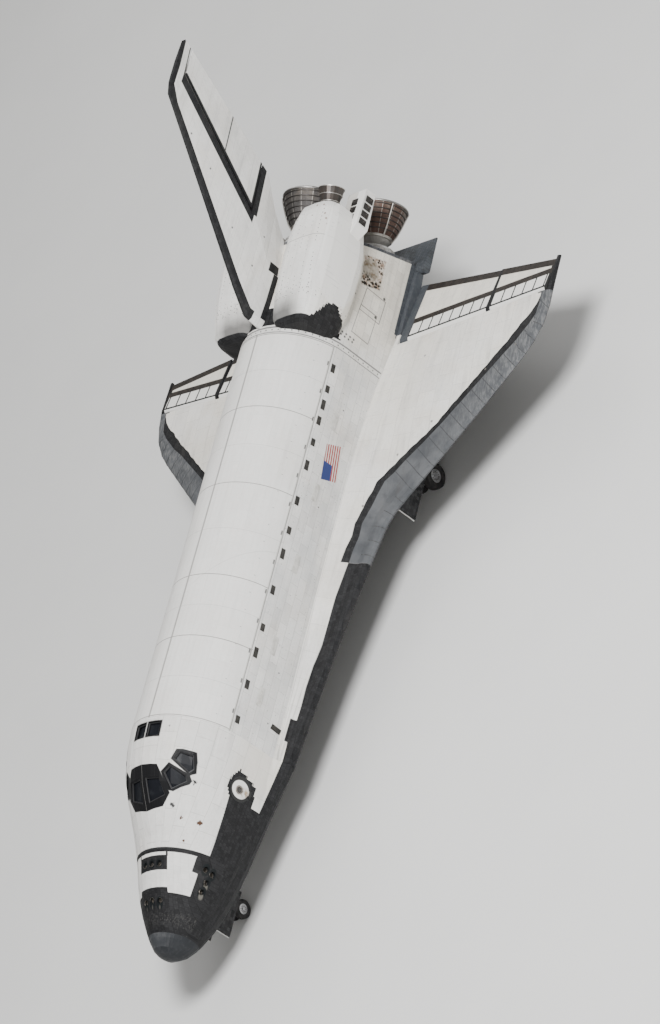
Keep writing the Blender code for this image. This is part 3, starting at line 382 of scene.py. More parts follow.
    def inside(self, across, along, corners, soft=0.02):
        """1 inside a convex outline."""
        pairs = list(zip(corners, corners[1:] + corners[:1]))
        turn = 1.0 if sum(a[0] * b[1] - b[0] * a[1] for a, b in pairs) > 0 else -1.0
        depth = None
        for a, b in pairs:
            length = turn * math.hypot(b[0] - a[0], b[1] - a[1])
            nx, ny = (a[1] - b[1]) / length, (b[0] - a[0]) / length
            reach = across.math("MULTIPLY_ADD", nx, -(nx * a[0] + ny * a[1]))
            reach = along.math("MULTIPLY_ADD", ny, reach)
            depth = reach if depth is None else depth & reach
        return depth.edge(soft)

    def mix(self, first, second, share):
        first, second = (colour if isinstance(colour, Value) else rgba(colour)
                         for colour in (first, second))
        return self.value("ShaderNodeMix", {"data_type": "RGBA"}, {0: share, 6: first, 7: second},
                          2)

    def layer(self, colour, mask, roughness=None):
        """Lays a colour, and a roughness if one is given, over what is there."""
        self.colour = self.mix(self.colour, colour, mask)
        if roughness is not None:
            self.roughness = self.roughness + mask * (roughness - self.roughness)

    def mottle(self, colour, scale, detail, low, high, share=1.0, stretch=None):
        """Lays a colour in patches of noise, or in streaks."""
        self.layer(colour, self.noise(scale, detail, stretch).over(low, high) * share)

    def weather(self, amount):
        """Broad stains, streaks along the airflow and fine mottling."""
        self.mottle(STAIN, 0.5, 5.0, 0.50, 0.75, 0.30 * amount)
        self.mottle(SOOT, 1.1, 4.0, 0.53, 0.78, 0.26 * amount, (0.22, 2.6, 2.6))
        fine = self.noise(9.0, 3.0, roughness=0.65)
        self.layer(SOOT, fine.over(0.50, 0.80) * (0.16 * amount))

    def panels(self, along, across, width, height, joint, depth, contrast=0.10):
        """Panels of slightly different whites with joints between them."""
        tone, seam = self.bricks(along, across, width, height, joint)
        self.layer(SOOT, tone * contrast)
        self.layer(SOOT, seam * depth)
        self.carve(seam)

    def black_tiles(self, mask, along, across):
        """Glazed black tiles where mask is 1."""
        size = self.sizes.black_tile
        tone, seam = self.bricks(along, across, size, size, 0.006)
        glaze = self.mix(self.colours.tile, scaled(self.colours.tile, 1.5, 0.005), tone)
        glaze = self.mix(glaze, 0.07, self.noise(13.0, 2.0).over(0.60, 0.80) * 0.45)
        self.layer(self.mix(glaze, 0.004, seam * 0.8), mask, 0.62)

    def slate(self, pale, scale, mask, roughness=0.6):
        """Weathered blue-black tile where mask is 1."""
        cloud = self.noise(scale, 4.0).over(0.42, 0.68)
        self.layer(self.mix(self.colours.slate, pale, cloud), mask, roughness)

    def edge_grey(self):
        """The mottled grey of the wing's carbon edge, paler and scuffed towards the tip."""
        grey = self.mix(scaled(self.colours.carbon, 0.55), (0.120, 0.124, 0.130),
                        self.noise(1.1, 5.0).over(0.35, 0.62) * 0.75)
        scuff = self.noise(6.0, 4.0, (0.6, 2.0, 1.0)).over(0.45, 0.7) * (self.side - 8.5).edge(4.0)
        grey = self.mix(grey, (0.25, 0.25, 0.245), scuff * 0.6)
        return self.mix(grey, (0.05, 0.052, 0.056), self.noise(3.0, 4.0).over(0.55, 0.78) * 0.6)

    def around_engine(self, row):
        """Distance along an engine's line from its gimbal, off that line, and angle round it."""
        start, way = Vector(row[:3]), engine_way(*row[3:])
        beside = way.cross(Vector(UPWARD)).normalized()
        along, across, rise = (
            self.vector("DOT_PRODUCT", self.body, tuple(line), 1) - start.dot(line)
            for line in (way, beside, beside.cross(way)))
        radius = (across * across + rise * rise).math("SQRT")
        return along, radius, rise.math("ARCTAN2", across) + math.pi

    def carve(self, mask, depth=1.0):
        """Sinks the surface by a share of the finish's relief."""
        cut = mask * -depth
        self.relief = cut if self.relief is None else self.relief + cut

    def done(self, relief=0.004):
        """Connects everything and returns the material."""
        colour = self.colour if isinstance(self.colour, Value) else rgba(self.colour)
        self.plug(self.shader, {"Base Color": colour, "Roughness": self.roughness})
        if self.relief is not None:
            bump = self.value("ShaderNodeBump", None, {
                "Height": self.relief, "Distance": relief, "Strength": 0.7})
            self.plug(self.shader, {"Normal": bump})
        self.node("ShaderNodeOutputMaterial", None, {"Surface": self.shader.outputs[0]})
        return self.material

    def dress(self, *names, relief=0.004):
        """Gives CAD nodes the finish."""
        dress(self.done(relief), *names)


def dress(material, *names):
    """Gives CAD nodes a material."""
    for name in names:
        for slot in NODES[name].material_slots:
            slot.material = material


def plain(name, colour, roughness, patches, carved=None, fixed=None, relief=0.004):
    """A finish with patches of (colour, scale, detail, low, high, share) on it, carved by noise."""
    finish = Finish(name, colour, roughness, fixed)
    for patch in patches:
        finish.mottle(*patch)
    if carved:
        scale, detail, depth = carved
        finish.carve(finish.noise(scale, detail), depth)
    return finish.done(relief)


def metal(name, colour, roughness=0.35, metallic=1.0, grime=0.5):
    """Brushed metal with grime in it."""
    finish = Finish(name, colour, roughness, {"Metallic": metallic})
    cloud = finish.noise(2.2, 4.0)
    finish.layer(scaled(colour, 0.35), cloud.over(0.45, 0.75) * grime, roughness + 0.25)
    finish.mottle(scaled(colour, 1.25), 30.0, 2.0, 0.6, 0.8, 0.3, (1.0, 0.15, 1.0))
    finish.carve(cloud, 0.4)
    return finish.done(0.001)


def piece(name, shape, material, body="airframe", smooth=32):
    """Turns a bmesh into a finished piece that rides on a body."""
    mesh = bpy.data.meshes.new(name)
    shape.to_mesh(mesh)
    shape.free()
    mesh.materials.append(material)
    mesh.shade_smooth()
    mesh.set_sharp_from_angle(angle=math.radians(smooth))
    made = bpy.data.objects.new(name, mesh)
    bpy.context.scene.collection.objects.link(made)
    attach(made, body)
    return made


def absorb(shape, made):
    """Adds one bmesh to another and frees it."""
    holder = bpy.data.meshes.new("holder")
    made.to_mesh(holder)
    made.free()
    shape.from_mesh(holder)
    bpy.data.meshes.remove(holder)


def bevel(shape, edges, offset, segments):
    bmesh.ops.bevel(shape, geom=edges, offset=offset, offset_type="OFFSET", segments=segments,
                    profile=0.5, affect="EDGES", material=-1)


def rod(shape, a, b, radius, tip=None, sides=12):
    """A round bar between two points, as wide at its tip unless that is given."""
    line = b - a
    turn = line.to_track_quat("Z", "Y").to_matrix().to_4x4()
    bmesh.ops.create_cone(shape, cap_ends=True, segments=sides, radius1=radius,
                          radius2=radius if tip is None else tip, depth=line.length,
                          matrix=Matrix.Translation((a + b) / 2) @ turn)


def bar(shape, start, end, radius, tip=None, sides=16):
    """A round bar between two places on the body."""
    rod(shape, place(*start), place(*end), radius, tip, sides)


def on_skin(node, start, way):
    """Where a line from a place first meets a node's skin, and the skin's direction there."""
    tree = BVHTree.FromPolygons([vert.co for vert in NODES[node].data.vertices],
                                [face.vertices for face in NODES[node].data.polygons])
    spot, out, _, _ = tree.ray_cast(place(*start), heading(*way))
    if spot is None:
        raise ValueError(f"{node} isn't met from {start}")
    return spot, out


def block(shape, spot, outward, size, rounding=0.006, along=(-1, 0, 0)):
    """A block with rounded edges: z outwards, and x as near as can be along a direction."""
    z = heading(*outward)
    y = z.cross(heading(*along)).normalized()
    turn = Matrix((y.cross(z), y, z)).transposed().to_4x4()
    made = bmesh.ops.create_cube(shape, size=1.0, matrix=Matrix.Translation(place(*spot)) @ turn
                                 @ Matrix.Diagonal((*size, 1.0)))
    bevel(shape, list({edge for vert in made["verts"] for edge in vert.link_edges}), rounding, 2)


def lathe(shape, profile, origin, way, steps=48, closed=True):
    """Spins an outline of (along, radius) about a line."""
    way = way.normalized()
    turn = Matrix.Translation(origin) @ way.to_track_quat("Z", "Y").to_matrix().to_4x4()
    rows = [shape.verts.new(turn @ Vector((radius, 0.0, along))) for along, radius in profile]
    pairs = list(zip(rows, rows[1:]))
    if closed:
        pairs.append((rows[-1], rows[0]))
    edges = [shape.edges.new(pair) for pair in pairs]
    before = set(shape.faces)
    bmesh.ops.spin(shape, geom=rows + edges, cent=origin, axis=way, angle=FULL_TURN, steps=steps,
                   use_merge=True, use_duplicate=False)
    verts = list({vert for face in set(shape.faces) - before for vert in face.verts})
    bmesh.ops.remove_doubles(shape, verts=verts, dist=1e-5)
    faces = [face for face in shape.faces if face not in before]
    bmesh.ops.recalc_face_normals(shape, faces=faces)


def skin_band(shape, node, low, high, lift, thick):
    """Adds a raised band of a node's skin, between two planes of (place, direction)."""
    band = bmesh.new()
    band.from_mesh(NODES[node].data)
    bmesh.ops.remove_doubles(band, verts=band.verts, dist=1e-5)
    for (spot, way), sign in ((low, 1), (high, -1)):
        bmesh.ops.bisect_plane(band, geom=band.verts[:] + band.edges[:] + band.faces[:],
                               plane_co=place(*spot), plane_no=sign * heading(*way),
                               clear_inner=True)
    if not band.faces:
        band.free()
        return
    band.normal_update()
    for vert in band.verts:
        vert.co += vert.normal * (lift + thick)
    bmesh.ops.solidify(band, geom=band.faces[:], thickness=thick)
    absorb(shape, band)


def along_line(rows, step, start=0.0):
    """Places at equal steps along a line of points in plan, with the line's direction there."""
    found, left = [], start
    for a, b in zip(rows, rows[1:]):
        length = math.hypot(b[0] - a[0], b[1] - a[1])
        way = ((b[0] - a[0]) / length, (b[1] - a[1]) / length)
        while left <= length:
            found.append(((a[0] + way[0] * left, a[1] + way[1] * left), way))
            left += step
        left -= length
    return found


def cushion(shape, low, high, cuts=9):
    """A crowned closed pad between two corners, with one sewn channel across it."""
    made = bmesh.ops.create_cube(shape, size=1.0)
    edges = list({edge for vert in made["verts"] for edge in vert.link_edges})
    bmesh.ops.subdivide_edges(shape, edges=edges, cuts=cuts, use_grid_fill=True)
    for vert in shape.verts:
        if max(abs(part) for part in vert.co) > 0.5001:
            continue
        spot = 2 * vert.co
        spot /= sum(abs(part) ** 5 for part in spot) ** 0.2
        spot *= 1.0 - 0.05 * max(0.0, math.cos(FULL_TURN * spot.y)) ** 6
        vert.co = place(*[(a + b) / 2 + 0.5 * (b - a) * part
                          for a, b, part in zip(low, high, spot)])


def side_half(up):
    """Half-width of the round body at a height above its arch line."""
    return math.sqrt(BODY_HALF ** 2 - max(0.0, up - ARCH_UP) ** 2)


def plate(shape, corners, thick=0.014, lift=0.004):
    """A thin plate on the skin, facing away from the body's middle."""
    made = bmesh.new()
    face = made.faces.new([made.verts.new(place(*corner)) for corner in corners])
    face.normal_update()
    middle = place(sum(corner[0] for corner in corners) / len(corners), 0, 2.6)
    if face.normal.dot(face.calc_center_median() - middle) < 0:
        face.normal_flip()
    out = face.normal.copy()
    for vert in made.verts:
        vert.co += out * (lift + thick)
    bmesh.ops.solidify(made, geom=[face], thickness=thick)
    bevel(made, made.edges[:], 0.004, 1)
    absorb(shape, made)


def bay_rib(shape, aft, width=0.10, depth=0.07):
    """A frame round the payload bay's trough."""
    made = bmesh.new()
    outer = BAY_RADIUS - 0.01
    corners = ((-width / 2, outer), (width / 2, outer), (width / 2, outer - depth),
               (-width / 2, outer - depth))
    face = made.faces.new([made.verts.new(place(aft + a, r, BAY_CENTRE_UP)) for a, r in corners])
    bmesh.ops.spin(made, geom=[face] + face.edges[:] + face.verts[:],
                   cent=place(aft, 0, BAY_CENTRE_UP), axis=heading(*AFTWARD), angle=math.pi,
                   steps=28, use_duplicate=False)
    bmesh.ops.holes_fill(made, edges=[edge for edge in made.edges if edge.is_boundary])
    bmesh.ops.recalc_face_normals(made, faces=made.faces)
    absorb(shape, made)


def shrunk(corners, amount):
    """A convex outline drawn in towards its middle by about an amount."""
    across = sum(corner[0] for corner in corners) / len(corners)
    along = sum(corner[1] for corner in corners) / len(corners)
    shares = [1 - 1.4 * amount / math.hypot(x - across, y - along) for x, y in corners]
    return [(across + share * (x - across), along + share * (y - along))
            for share, (x, y) in zip(shares, corners)]


def engine_way(cant_up, cant_out):
    """Direction of an engine's line: aft, half, up."""
    pitch, yaw = math.radians(cant_up), math.radians(cant_out)
    return Vector((math.cos(pitch) * math.cos(yaw), math.cos(pitch) * math.sin(yaw),
                   math.sin(pitch)))


def engine_line(aft, half, up, cant_up, cant_out):
    """An engine's gimbal point, direction, and the distance along it to the heat shield."""
    way = engine_way(cant_up, cant_out)
    lean = Vector((1, 0, 0.276))
    reach = (Vector((32.34, 0, 3.38)) - Vector((aft, half, up))).dot(lean) / way.dot(lean)
    return place(aft, half, up), heading(*way), reach


def level(rows, at):
    """Value at a distance along rows of (along, value)."""
    for (a, r), (b, s) in zip(rows, rows[1:]):
        if at <= b:
            return r + (s - r) * (at - a) / (b - a)
    return rows[-1][1]


def bell_pipe(shape, origin, way, path, angle, radius):
    """A pipe that follows the outside of a bell at an angle round it."""
    beside = way.cross(Vector(UPWARD)).normalized()
    out = beside * math.cos(angle) + beside.cross(way) * math.sin(angle)
    points = [origin + way * along + out * size for along, size in path]
    for a, b in zip(points, points[1:]):
        rod(shape, a, b, radius)
    for point in points:
        bmesh.ops.create_icosphere(shape, subdivisions=2, radius=radius,
                                   matrix=Matrix.Translation(point))


def tyre_outline(radius, width, groove):
    """Outline of an aircraft tyre with straight grooves round its tread."""
    rim = 0.52 * radius + 0.004
    wall = radius - rim
    right = [(share * width, rim + height * wall) for share, height in (
        (0.36, 0.0), (0.43, 0.04), (0.475, 0.22), (0.50, 0.45), (0.488, 0.66), (0.445, 0.84),
        (0.37, 0.95))]
    tread = [(share * width + shift * groove, radius - depth)
             for share in (0.24, 0.08, -0.08, -0.24)
             for shift, depth in ((1, 0.001), (0.7, groove), (-0.7, groove), (-1, 0.001))]
    return right + tread + [(-along, reach) for along, reach in reversed(right)]


class OrbiterStep(bpy.types.Operator):
    """One group of the orbiter's looks."""
    bl_options = {"REGISTER", "UNDO"}


class ORBITER_OT_stage(OrbiterStep):
    """Pale floor, soft lights and the camera"""
    bl_idname = "orbiter.stage"
    bl_label = "Stage"

    def execute(self, context):
        colours, _ = settings(context)
        shape = bmesh.new()
        bmesh.ops.create_grid(shape, x_segments=1, y_segments=1, size=400.0)
        floor = piece("floor", shape, plain("studio_floor", colours.floor, 0.85,
                                            [(0.5, 0.15, 3.0, 0.4, 0.8, 0.12)]))
        floor.parent = None
        world = bpy.data.worlds.new("studio")
        world.use_nodes = True
        background = world.node_tree.nodes["Background"]
        background.inputs["Color"].default_value = (1.0, 0.99, 0.97, 1.0)
        background.inputs["Strength"].default_value = 0.36
        context.scene.world = world
        for name, (spot, aim, size, power) in LAMPS.items():
            lamp = bpy.data.lights.new(name, "AREA")
            lamp.size = size
            lamp.energy = power
            light = bpy.data.objects.new(name, lamp)
            context.scene.collection.objects.link(light)
            light.location = spot
            away = Vector(aim) - Vector(spot)
            light.rotation_euler = away.to_track_quat("-Z", "Y").to_euler()
        data = bpy.data.cameras.new("view")
        data.sensor_width = SENSOR
        data.lens = LENS
        data.clip_end = 1000.0
        camera = bpy.data.objects.new("view", data)
        context.scene.collection.objects.link(camera)
        turn = Matrix((Vector(CAMERA_RIGHT), -Vector(CAMERA_DOWN), -Vector(CAMERA_AHEAD)))
        camera.matrix_world = AIR @ Matrix.Translation(CAMERA_AT) @ turn.transposed().to_4x4()
        context.scene.camera = camera
        return {"FINISHED"}


class ORBITER_OT_nose(OrbiterStep):
    """Carbon nose cap and the thruster module behind it"""
    bl_idname = "orbiter.nose"
    bl_label = "Nose"

    def execute(self, context):
        colours, _ = settings(context)
        finish = Finish("nose_carbon", scaled(colours.carbon, 0.45), 0.5)
        cloud = finish.noise(1.6, 5.0)
        finish.layer((0.15, 0.15, 0.152), cloud.over(0.42, 0.66) * 0.7)
        # Painted shade: the carbon goes nearly black wherever the cap turns away from facing up, so
        # only its top keeps the grey, as a painted highlight.
        painted_shade = 1.0 - (finish.rise + finish.noise(2.5, 3.0) * 0.3).over(0.70, 1.02)
        finish.layer((0.018, 0.020, 0.023), painted_shade * 0.88)
        finish.mottle((0.05, 0.05, 0.055), 3.5, 4.0, 0.52, 0.75, 0.6, (0.5, 2, 2))
        finish.black_tiles((finish.aft - 0.76).edge(), finish.aft, finish.half)
        finish.carve(cloud, 0.3)
        cap = finish.done()
        dress(cap, "nose_cap")

        finish = Finish("nose_module_skin", colours.felt, 0.6)
        finish.weather(0.6)
        finish.panels(finish.aft, finish.half, 0.30, 0.25, 0.006, 0.18)
        front = finish.table(finish.side, [(0.0, 2.34), (0.755, 2.34), (0.765, 2.15), (2.2, 2.15)])
        rim = finish.table(finish.aft, [(2.0, 2.70), (3.03, 2.86), (3.06, 3.07), (3.62, 3.14),
                                        (3.75, 3.10)])
        mask = (front - finish.aft).edge() | (finish.aft - 3.66).edge()
        mask = mask | (rim - finish.up).edge() * (finish.side - 1.2).edge()
        mask = mask | finish.aft.within(2.98, 3.54) * (0.77 - finish.side).edge()
        mask = mask | finish.aft.within(3.50, 3.80) * finish.side.within(0.71, 0.79)
        finish.black_tiles(mask, finish.aft, finish.half)
        for aft, half, up, reach in MOUTHS:
            forward = aft < 2.2
            long = 0.62 if abs(reach[1]) > 0.5 else (0.50 if forward else 0.80)
            start = aft - (0.14 if forward else 0.02)
            drop = finish.near(0.17, (start, half, up), (long, 1.0, 1.0), both=True)
            finish.layer((0.006, 0.008, 0.009), drop)
            if aft < 3.0:
                tail = finish.near(0.11, (start - 0.25, half, up), (0.45, 1.2, 0.8), 0.04, True)
                finish.layer((0.17, 0.16, 0.14), tail * 0.75)
        streaks = finish.noise(8.0, 3.0, (0.3, 2.5, 2.5)).over(0.5, 0.7)
        finish.layer((0.30, 0.29, 0.27), streaks * finish.aft.within(1.05, 1.45, 0.25) * 0.15)
        sooty = finish.noise(2.0, 4.0).over(0.35, 0.7) * finish.aft.within(2.55, 3.2, 0.5)
        finish.layer(SOOT, sooty * 0.12)
        finish.dress("forward_rcs_module")

        shape = bmesh.new()
        skin_band(shape, "nose_cap", ((0.745, 0, 2), (1, 0, 0.05)), ((0.775, 0, 2), (1, 0, 0.05)),
                  0.003, 0.006)
        piece("nose_cap_seal", shape, cap)

        cup = plain("thruster_cup", (0.16, 0.14, 0.12), 0.45, [(0.03, 9.0, 3.0, 0.4, 0.65, 0.7)],
                    fixed={"Metallic": 0.7})
        shape = bmesh.new()
        outline = [(-0.22, 0.040), (-0.16, 0.070), (-0.10, 0.098), (-0.02, 0.118),
                   (-0.008, 0.128), (-0.02, 0.136), (-0.10, 0.112), (-0.16, 0.086), (-0.22, 0.058)]
        for aft, half, up, reach in MOUTHS:
            for turn in ((1, -1) if half else (1,)):
                way = heading(reach[0], turn * reach[1], reach[2])
                lathe(shape, outline, place(aft, turn * half, up), way, 24)
        piece("thruster_cups", shape, cup)
        return {"FINISHED"}


class ORBITER_OT_forward_body(OrbiterStep):
    """Felt, blankets and black tile of the forward body, and the crew hatch"""
    bl_idname = "orbiter.forward_body"
    bl_label = "Forward body"

    def execute(self, context):
        colours, _ = settings(context)
        finish = Finish("forward_skin", colours.felt, 0.72)
        finish.weather(0.7)
        finish.panels(finish.aft, finish.around, 1.15, 0.78, 0.012, 0.30)
        finish.panels(finish.aft + 0.2, finish.around, 0.23, 0.195, 0.004, 0.10, 0.05)
        warm = (3.1 - finish.up).edge(1.2) * (finish.aft - 7.0).edge(1.0)
        finish.layer((0.74, 0.69, 0.60), warm * 0.5)
        aft = finish.aft.stepped(0.12)
        low = finish.table(aft, [(0.8, 2.62), (3.7, 2.73), (4.4, 2.78), (5.3, 2.87), (6.34, 2.96),
                                 (6.36, 1.30), (8.74, 1.10)])
        hatch = finish.inside(aft, finish.up.stepped(0.08), [
            (7.52, 2.86), (7.20, 3.12), (6.76, 3.22), (6.35, 3.02), (6.20, 2.2), (6.45, 1.72),
            (7.21, 1.88)]) * finish.half.edge()
        windows = None
        for corners in (
                [(0.0, 5.10), (0.55, 5.19), (0.82, 5.24), (1.17, 5.72), (0.89, 6.46),
                 (0.76, 6.73), (0.0, 6.76)],
                [(0.90, 6.46), (1.24, 6.82), (1.86, 6.50), (1.91, 6.27), (1.83, 6.13),
                 (1.29, 5.78), (1.08, 5.80)],
                [(1.30, 6.96), (1.46, 7.38), (1.70, 7.42), (2.06, 7.40), (2.08, 7.02),
                 (2.03, 6.60), (1.86, 6.45)]):
            pane = finish.inside(finish.side, finish.aft, corners)
            windows = pane if windows is None else windows | pane
        windows = windows * (finish.up - 4.2).edge()
        roof = finish.aft.within(7.84, 8.56, 0.05) * finish.side.within(0.02, 0.76, 0.05)
        windows = windows | roof * (finish.up - 5.4).edge()
        mask = (low - finish.up).edge() | hatch | finish.under | (3.83 - finish.aft).edge()
        finish.black_tiles(mask, finish.aft, finish.mix(finish.up, finish.half, finish.under))
        finish.layer((0.007, 0.007, 0.008), windows, 0.5)
        for spot, radius, colour in (
                ((6.23, 1.36, 5.00), 0.06, 0.03), ((6.26, 1.96, 4.39), 0.09, 0.02),
                ((4.88, 1.90, 3.58), 0.12, RUST), ((4.91, 1.41, 4.16), 0.06, RUST),
                ((4.11, 1.39, 3.73), 0.05, RUST), ((5.30, 1.20, 4.60), 0.10, 0.05),
                ((8.30, 1.10, 5.73), 0.035, 0.02), ((8.35, 2.52, 3.90), 0.03, 0.02)):
            ragged = finish.noise(11.0, 4.0, roughness=0.7) * 0.34 - 0.18
            finish.layer(colour, (radius - finish.distance(spot) + ragged).edge(0.03))
        finish.dress("forward_fuselage")

        finish = Finish("hatch_skin", colours.felt, 0.65)
        finish.weather(0.5)
        stain = finish.near(0.30, (6.75, 2.5, 2.30), (1.6, 0.0, 0.8), 0.3)
        stain = stain * finish.noise(7.0, 4.0).over(0.3, 0.6)
        finish.layer((0.26, 0.17, 0.08), stain * 0.8)
        finish.layer(0.03, 1.0 - finish.near(0.385, (6.79, 2.5, 2.55), (1.05, 0, 0.9)))
        finish.dress("side_hatch")

        glass = plain("hatch_glass", (0.012, 0.010, 0.008), 0.08,
                      [((0.10, 0.07, 0.03), 5.0, 3.0, 0.5, 0.7, 0.4)], fixed={"Coat Weight": 0.6})
        spot, way = on_skin("side_hatch", (6.76, 4.0, 2.60), (0, -1, 0))
        origin = spot - 0.012 * way
        shape = bmesh.new()
        lathe(shape, [(0.0, 0.125), (0.035, 0.13), (0.042, 0.145), (0.040, 0.165), (0.0, 0.185)],
              origin, way)
        across = way.cross(Vector(UPWARD)).normalized()
        for i in range(16):
            angle = FULL_TURN * i / 16
            out = across * math.cos(angle) + across.cross(way) * math.sin(angle)
            bolt = origin + 0.155 * out
            rod(shape, bolt + 0.03 * way, bolt + 0.052 * way, 0.008, sides=6)
        piece("hatch_window_rim", shape, metal("hatch_fittings", (0.30, 0.27, 0.24), 0.4),
              "hatch")
        shape = bmesh.new()
        lathe(shape, [(0.0, 0.0), (0.022, 0.0), (0.018, 0.10), (0.010, 0.130), (0.0, 0.130)],
              origin, way, closed=False)
        piece("hatch_window", shape, glass, "hatch")
        return {"FINISHED"}


class ORBITER_OT_windows(OrbiterStep):
    """Dark glass and the frames around each pane"""
    bl_idname = "orbiter.windows"
    bl_label = "Windows"

    def execute(self, context):
        dress(plain("cabin_glass", (0.010, 0.011, 0.014), 0.28,
                    [((0.035, 0.038, 0.042), 1.7, 4.0, 0.5, 0.75, 0.7)],
                    fixed={"Alpha": 0.97, "Specular IOR Level": 0.08}),
              "windscreen", "overhead_windows")
        shape = bmesh.new()
        for corners in PANES.values():
            for turn in (1, -1):
                points = [Vector((-a, turn * h, u)) for a, h, u in corners]
                middle = sum(points, Vector()) / len(points)
                out = (points[2] - points[0]).cross(points[3] - points[1]).normalized()
                if out.z < 0:
                    out = -out
                rings = []
                for grow, sink in ((0.985, 0.03), (0.985, 0.09), (0.86, 0.10), (0.88, 0.045)):
                    ring = [shape.verts.new(AIR @ (middle + (p - middle) * grow - out * sink))
                            for p in points]
                    rings.append([shape.edges.new(pair) for pair in zip(ring, ring[1:] + ring[:1])])
                for a, b in zip(rings, rings[1:] + rings[:1]):
                    bmesh.ops.bridge_loops(shape, edges=a + b)
        bmesh.ops.recalc_face_normals(shape, faces=shape.faces)
        bevel(shape, shape.edges[:], 0.006, 2)
        piece("window_frames", shape, metal("window_rim", (0.028, 0.028, 0.030), 0.5, 0.3))
        return {"FINISHED"}


class ORBITER_OT_cabin(OrbiterStep):
    """Flight deck, its two padded seats and generic screens"""
    bl_idname = "orbiter.cabin"
    bl_label = "Cabin"

    def execute(self, context):
        finish = Finish("cabin_grey", (0.085, 0.09, 0.095), 0.6)
        finish.mottle((0.03, 0.03, 0.032), 6.0, 3.0, 0.4, 0.7, 0.6)
        _, seam = finish.bricks(finish.aft, finish.half, 0.30, 0.20, 0.008)
        finish.layer(0.02, seam * 0.7)
        finish.carve(seam)
        finish.dress("flight_deck")

        cloth = plain("seat_cloth", (0.045, 0.05, 0.06), 0.9,
                      [((0.09, 0.095, 0.11), 160.0, 2.0, 0.4, 0.7, 0.6)], (160.0, 2.0, 0.5),
                      {"Sheen Weight": 0.3}, 0.001)
        tube = metal("seat_frame", (0.2, 0.2, 0.21), 0.5)
        for name, middle in (("commander_seat", 0.62), ("pilot_seat", -0.62)):
            shape = bmesh.new()
            for front, back, wide, low, high in ((6.36, 6.86, 0.25, 3.58, 3.72),
                                                 (6.81, 6.97, 0.23, 3.74, 4.42),
                                                 (6.82, 6.96, 0.14, 4.43, 4.61)):
                cushion(shape, (front, middle - wide, low), (back, middle + wide, high))
            seat = piece(f"{name}_cushions", shape, cloth)
            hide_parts(name)
            shape = bmesh.new()
            block(shape, (6.62, middle, 3.44), UPWARD, (0.50, 0.42, 0.25), 0.02)
            for half in (middle - 0.22, middle + 0.22):
                bar(shape, (6.94, half, 3.36), (6.985, half, 4.50), 0.018)
            piece(f"{name}_frame", shape, tube)

        glow = plain("screen_glass", (0.01, 0.02, 0.025), 0.15,
                     [((0.02, 0.06, 0.05), 12.0, 2.0, 0.45, 0.6)], fixed={"Coat Weight": 0.5})
        shape = bmesh.new()
        for half in (-0.88, -0.44, 0.0, 0.44, 0.88):
            block(shape, (5.72, half, 3.88), (1, 0, 0.1), (0.28, 0.24, 0.03), 0.01, OUTBOARD)
        piece("screens", shape, glow)
        shape = bmesh.new()
        for half in (-0.62, 0.62):
            bar(shape, (6.10, half, 3.30), (6.16, half, 3.62), 0.02, 0.012)
            bar(shape, (6.16, half, 3.62), (6.13, half, 3.74), 0.028, 0.022)
        piece("control_sticks", shape, metal("stick_metal", (0.08, 0.08, 0.08), 0.5))
        return {"FINISHED"}


